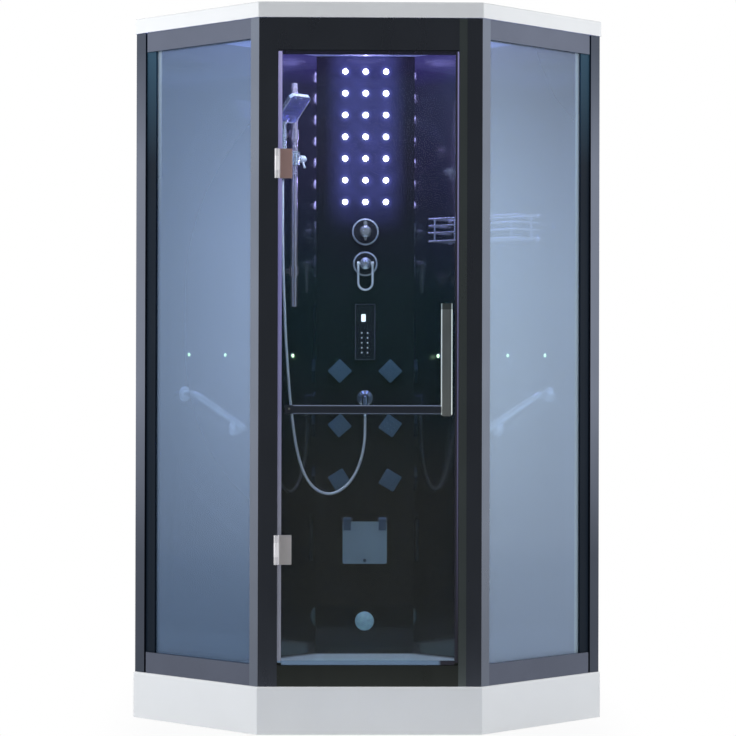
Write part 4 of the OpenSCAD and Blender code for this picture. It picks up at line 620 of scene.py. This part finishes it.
# The finish of each CAD node
NODE_FINISH = {
    "tray": "tray", "tray_frame": "steel", "levelling_feet": "foot", "drain_waste": "waste",
    "drain_grate": "chrome", "roof_cover": "roof", "ceiling_panel": "ceiling",
    "column_panel": "column", "left_back_wall": "black", "right_back_wall": "black",
    "wall_posts": "post", "left_corner_post": "dark", "right_corner_post": "dark",
    "door_header": "dark", "door_sill": "sill", "side_top_rails": "grey",
    "side_bottom_rails": "grey", "side_glass": "side_glass", "side_channels": "channel",
    "strike_profile": "strike", "hinge_leaves": "leaf", "hinge_pins": "pipe",
    "ceiling_light": "ceiling_lens", "rain_head": "chrome", "fan_housing": "fan",
    "led_lights": "bezel", "valve_plates": "plate", "valve_bodies": "brass",
    "pipework": "pipe", "control_panel": "panel", "jet_bases": "chrome",
    "hose_outlet": "chrome", "outlet_hose_nut": "chrome", "shower_hose": "strip",
    "riser_rail": "rail", "wire_rack": "rack", "grab_handles": "bright",
    "foot_rest_brackets": "smoke", "steam_outlet": "steam", "steam_generator": "boiler",
    "door_glass": "door_glass", "door_handle": "handle", "door_seals": "seal",
    "hinge_clamps": "clamp", "slider": "knob", "slider_knob": "bright",
    "handset_cradle": "chrome", "hand_shower": "handset", "handset_hose_nut": "chrome",
    "diverter_knob": "knob", "mixer_hub": "knob", "mixer_lever": "bright",
    "foot_rest": "rest", "fan_rotor": "rotor",
}
NODE_FINISH.update({"jet_%d" % i: "jet" for i in range(1, 7)})

for name, finish in NODE_FINISH.items():
    slots = NODES[name].data.materials
    slots.clear()
    slots.append(FINISHES[finish])


# Lit lenses, display and key marks
def piece(name, bm, finish):
    """Turns bm into a lens piece that rides on the cabin."""
    mesh = bpy.data.meshes.new(name)
    bmesh.ops.recalc_face_normals(bm, faces=bm.faces)
    bm.to_mesh(mesh)
    bm.free()
    mesh.materials.append(FINISHES[finish])
    obj = link(bpy.data.objects.new(name, mesh))
    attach(obj, "cabin")


def circle(bm, centre, u, v, radius, sides):
    """A ring of points round centre, in the plane of u and v."""
    turns = (2 * math.pi * k / sides for k in range(sides))
    return [bm.verts.new(centre + radius * (u * math.cos(a) + v * math.sin(a))) for a in turns]


def join_rings(bm, low, top, smooth=False):
    """The faces between two rings of points."""
    for k in range(len(low)):
        j = (k + 1) % len(low)
        bm.faces.new((low[k], low[j], top[j], top[k])).smooth = smooth


def add_dome(bm, place, outward, radius, height, sides=28, rings=5):
    """A closed lens on the flat spot at place, bulging outward."""
    outward = Vector(outward).normalized()
    u = outward.cross(Vector((0, 0, 1))).normalized()
    v = outward.cross(u)
    circles = []
    for i in range(rings):
        a = math.pi / 2 * i / rings
        centre = place + outward * height * math.sin(a)
        circles.append(circle(bm, centre, u, v, radius * math.cos(a), sides))
    tip = bm.verts.new(place + outward * height)
    bm.faces.new(circles[0])
    for low, top in zip(circles, circles[1:]):
        join_rings(bm, low, top, smooth=True)
    last = circles[-1]
    for k in range(sides):
        bm.faces.new((last[k], last[(k + 1) % sides], tip)).smooth = True


def on_column(x, n, z):
    return Vector((x, COLUMN_Y - n, z))


def on_wall(side, along, n, z):
    """The point at a distance along a back wall from the corner, and n in front of it."""
    x = side * (along - n) / math.sqrt(2)
    y = INNER_CORNER_Y - (along + n) / math.sqrt(2)
    return Vector((x, y, z))


def add_plate(bm, xs, zs, n0, n1, corner=0.0015, corner_steps=4, middle=0.92):
    """A thin plate on the column with rounded corners and a raised middle."""
    (x0, x1), (z0, z1) = xs, zs
    outline = []
    for cx, cz, start in ((x1 - corner, z1 - corner, 0), (x0 + corner, z1 - corner, 90),
                          (x0 + corner, z0 + corner, 180), (x1 - corner, z0 + corner, 270)):
        for step in range(corner_steps + 1):
            a = math.radians(start + 90 / corner_steps * step)
            outline.append((cx + corner * math.cos(a), cz + corner * math.sin(a)))
    mid_x, mid_z = (x0 + x1) / 2, (z0 + z1) / 2
    raised = [(mid_x + (x - mid_x) * middle, mid_z + (z - mid_z) * middle) for x, z in outline]
    back, edge, face = ([bm.verts.new(on_column(x, n, z)) for x, z in points]
                        for points, n in ((outline, n0), (outline, (n0 + n1) / 2), (raised, n1)))
    bm.faces.new(back)
    bm.faces.new(face)
    join_rings(bm, back, edge)
    join_rings(bm, edge, face)


def column_lenses():
    bm = bmesh.new()
    for row in range(LAMP_ROWS):
        for x in LAMP_XS:
            place = on_column(x, LAMP_N, LAMP_TOP_Z - row * LAMP_STEP_Z)
            add_dome(bm, place, (0, -1, 0), LAMP_R, LAMP_BULGE)
    piece("column_lamp_lenses", bm, "lamp")


def wall_lenses():
    bm = bmesh.new()
    for side in (-1, 1):
        for along in WALL_LAMP_ALONG:
            place = on_wall(side, along, LAMP_N, WALL_LAMP_Z)
            add_dome(bm, place, (-side, -1, 0), WALL_LAMP_R, WALL_LAMP_BULGE)
    piece("wall_lamp_lenses", bm, "wall_lamp")


def display():
    bm = bmesh.new()
    add_plate(bm, SCREEN_XS, SCREEN_ZS, PANEL_N, PANEL_N + SCREEN_BULGE)
    piece("display_window", bm, "screen")


def key_marks():
    bm = bmesh.new()
    for row in range(KEY_ROWS):
        for x in KEY_XS:
            place = on_column(x, PANEL_N, KEY_TOP_Z - row * KEY_STEP_Z)
            add_dome(bm, place, (0, -1, 0), KEY_R, KEY_BULGE, sides=20, rings=3)
    piece("key_marks", bm, "key")


column_lenses()
wall_lenses()
display()
key_marks()


# The hose
def curve_points(points, steps):
    """The Catmull-Rom line through points, steps to each stretch."""
    p = [Vector(q) for q in points]
    curve = []
    for i in range(len(p) - 1):
        a, b, c, d = p[max(i - 1, 0)], p[i], p[i + 1], p[min(i + 2, len(p) - 1)]
        for s in range(steps):
            t = s / steps
            curve.append(0.5 * (2 * b + (c - a) * t + (2 * a - 5 * b + 4 * c - d) * t * t
                                + (3 * b - a - 3 * c + d) * t ** 3))
    curve.append(p[-1])
    return curve


def tube(name, curve, radius, sides):
    """A closed tube along curve, which leaves downwards and ends upwards.

    The second axis of its UV map is the length along it in metres.
    """
    bm = bmesh.new()
    uv_layer = bm.loops.layers.uv.new("UVMap")
    side = Vector((1, 1, 0)).normalized()
    last = len(curve) - 1
    rings, lengths = [], [0.0]
    for i, q in enumerate(curve):
        if i == 0:
            along = Vector((0, 0, -1))
        elif i == last:
            along = Vector((0, 0, 1))
        else:
            along = (curve[i + 1] - curve[i - 1]).normalized()
        u = along.cross(side).normalized()
        rings.append(circle(bm, q, u, along.cross(u), radius, sides))
        if i:
            lengths.append(lengths[-1] + (q - curve[i - 1]).length)
    for i in range(last):
        for k in range(sides):
            j = (k + 1) % sides
            face = bm.faces.new((rings[i][k], rings[i + 1][k], rings[i + 1][j], rings[i][j]))
            face.smooth = True
            corners = ((k, i), (k, i + 1), (k + 1, i + 1), (k + 1, i))
            for loop, (around, ring) in zip(face.loops, corners):
                loop[uv_layer].uv = (around / sides * 2 * math.pi * radius, lengths[ring])
    bm.faces.new(rings[0])
    bm.faces.new(list(reversed(rings[-1])))
    bmesh.ops.recalc_face_normals(bm, faces=bm.faces)
    mesh = bpy.data.meshes.new(name)
    bm.to_mesh(mesh)
    bm.free()
    return link(bpy.data.objects.new(name, mesh)), lengths[-1]


line = curve_points(HOSE, HOSE_STEPS)
hose, hose_length = tube("hose_tube", line, HOSE_R, HOSE_SIDES)
hose.data.materials.append(FINISHES["strip"])
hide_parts("shower_hose")
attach(hose, "cabin")


# Floor, world and lamps
def ray_kinds(t):
    """The rays from the camera, and those that metal and glass send out."""
    path = t.nodes.new("ShaderNodeLightPath").outputs
    mirrored = calc(t, "MAXIMUM", path["Is Glossy Ray"], path["Is Transmission Ray"])
    return path["Is Camera Ray"], mirrored


def white_floor():
    """White to the camera, with the object's shadow kept.

    Metal and glass see it grey, and nearly dark in front of the cabin.
    """
    m, t = tree("white_floor")
    paint = principled(t, (0.9, 0.9, 0.9), 0.7)
    white = t.nodes.new("ShaderNodeEmission")
    seen, mirrored = ray_kinds(t)
    x, y, _ = axes(t)
    far = calc(t, "MAXIMUM", calc(t, "ABSOLUTE", x), calc(t, "ABSOLUTE", y))
    keep = span(t, far, 0.9, 1.0, 0.58, 0.85, soft=True)
    dim = span(t, y, 0.08, 0.55, -1.6, -0.4, soft=True)
    t.links.new(calc(t, "MAXIMUM", seen, dim), white.inputs[1])
    share = calc(t, "MAXIMUM", mirrored, product(t, seen, keep))
    return closed(m, blend_shader(t, share, paint.outputs[0], white.outputs[0]))


def make_floor():
    mesh = bpy.data.meshes.new("floor")
    mesh.from_pydata(FLOOR, [], [(0, 1, 2, 3)])
    mesh.materials.append(white_floor())
    obj = link(bpy.data.objects.new("floor", mesh))


def make_world():
    """White behind the object and at its sides, with a plain level of light on it.

    Metal and glass see a dim room behind the camera.
    """
    w = bpy.data.worlds.new("world")
    bpy.context.scene.world = w
    w.use_nodes = True
    t = w.node_tree
    t.nodes.clear()

    def background(strength, colour=(1, 1, 1)):
        b = t.nodes.new("ShaderNodeBackground")
        feed(t, colour, b.inputs[0])
        feed(t, strength, b.inputs[1])
        return b.outputs[0]

    seen, mirrored = ray_kinds(t)
    way = t.nodes.new("ShaderNodeTexCoord")
    depth = split(t, way.outputs["Generated"])[Y]
    room = span(t, depth, 0.07, 1.0, -0.8, -0.35, soft=True)
    plain = blend_shader(t, mirrored, background(0.45, (0.95, 0.97, 1.0)), background(room))
    out = t.nodes.new("ShaderNodeOutputWorld")
    t.links.new(blend_shader(t, seen, plain, background(1.0)), out.inputs[0])


def area_lamp(name, place, aim, power, size, colour=(1, 1, 1)):
    """A soft lamp that metal and glass don't mirror."""
    data = bpy.data.lights.new(name, "AREA")
    data.energy = power
    data.color = colour
    data.shape = "RECTANGLE"
    data.size, data.size_y = size
    obj = link(bpy.data.objects.new(name, data))
    obj.location = place
    obj.rotation_euler = (Vector(aim) - Vector(place)).to_track_quat("-Z", "Y").to_euler()
    obj.visible_glossy = False


make_floor()
make_world()
area_lamp("left_soft", (-4.5, -1.2, 2.6), (-0.3, -0.3, 1.1), 120, (2.4, 2.4))
area_lamp("right_soft", (4.5, -1.2, 2.6), (0.3, -0.3, 1.1), 90, (2.4, 2.4))
area_lamp("cabin_light", (0, 0, 2.07), (0, 0, 0), 9.0, (0.5, 0.4), (0.72, 0.84, 1.0))
area_lamp("column_light", (0, 0.31, 1.84), (0, -1, 1.84), 2.0, (0.2, 0.5), (0.36, 0.32, 1.0))
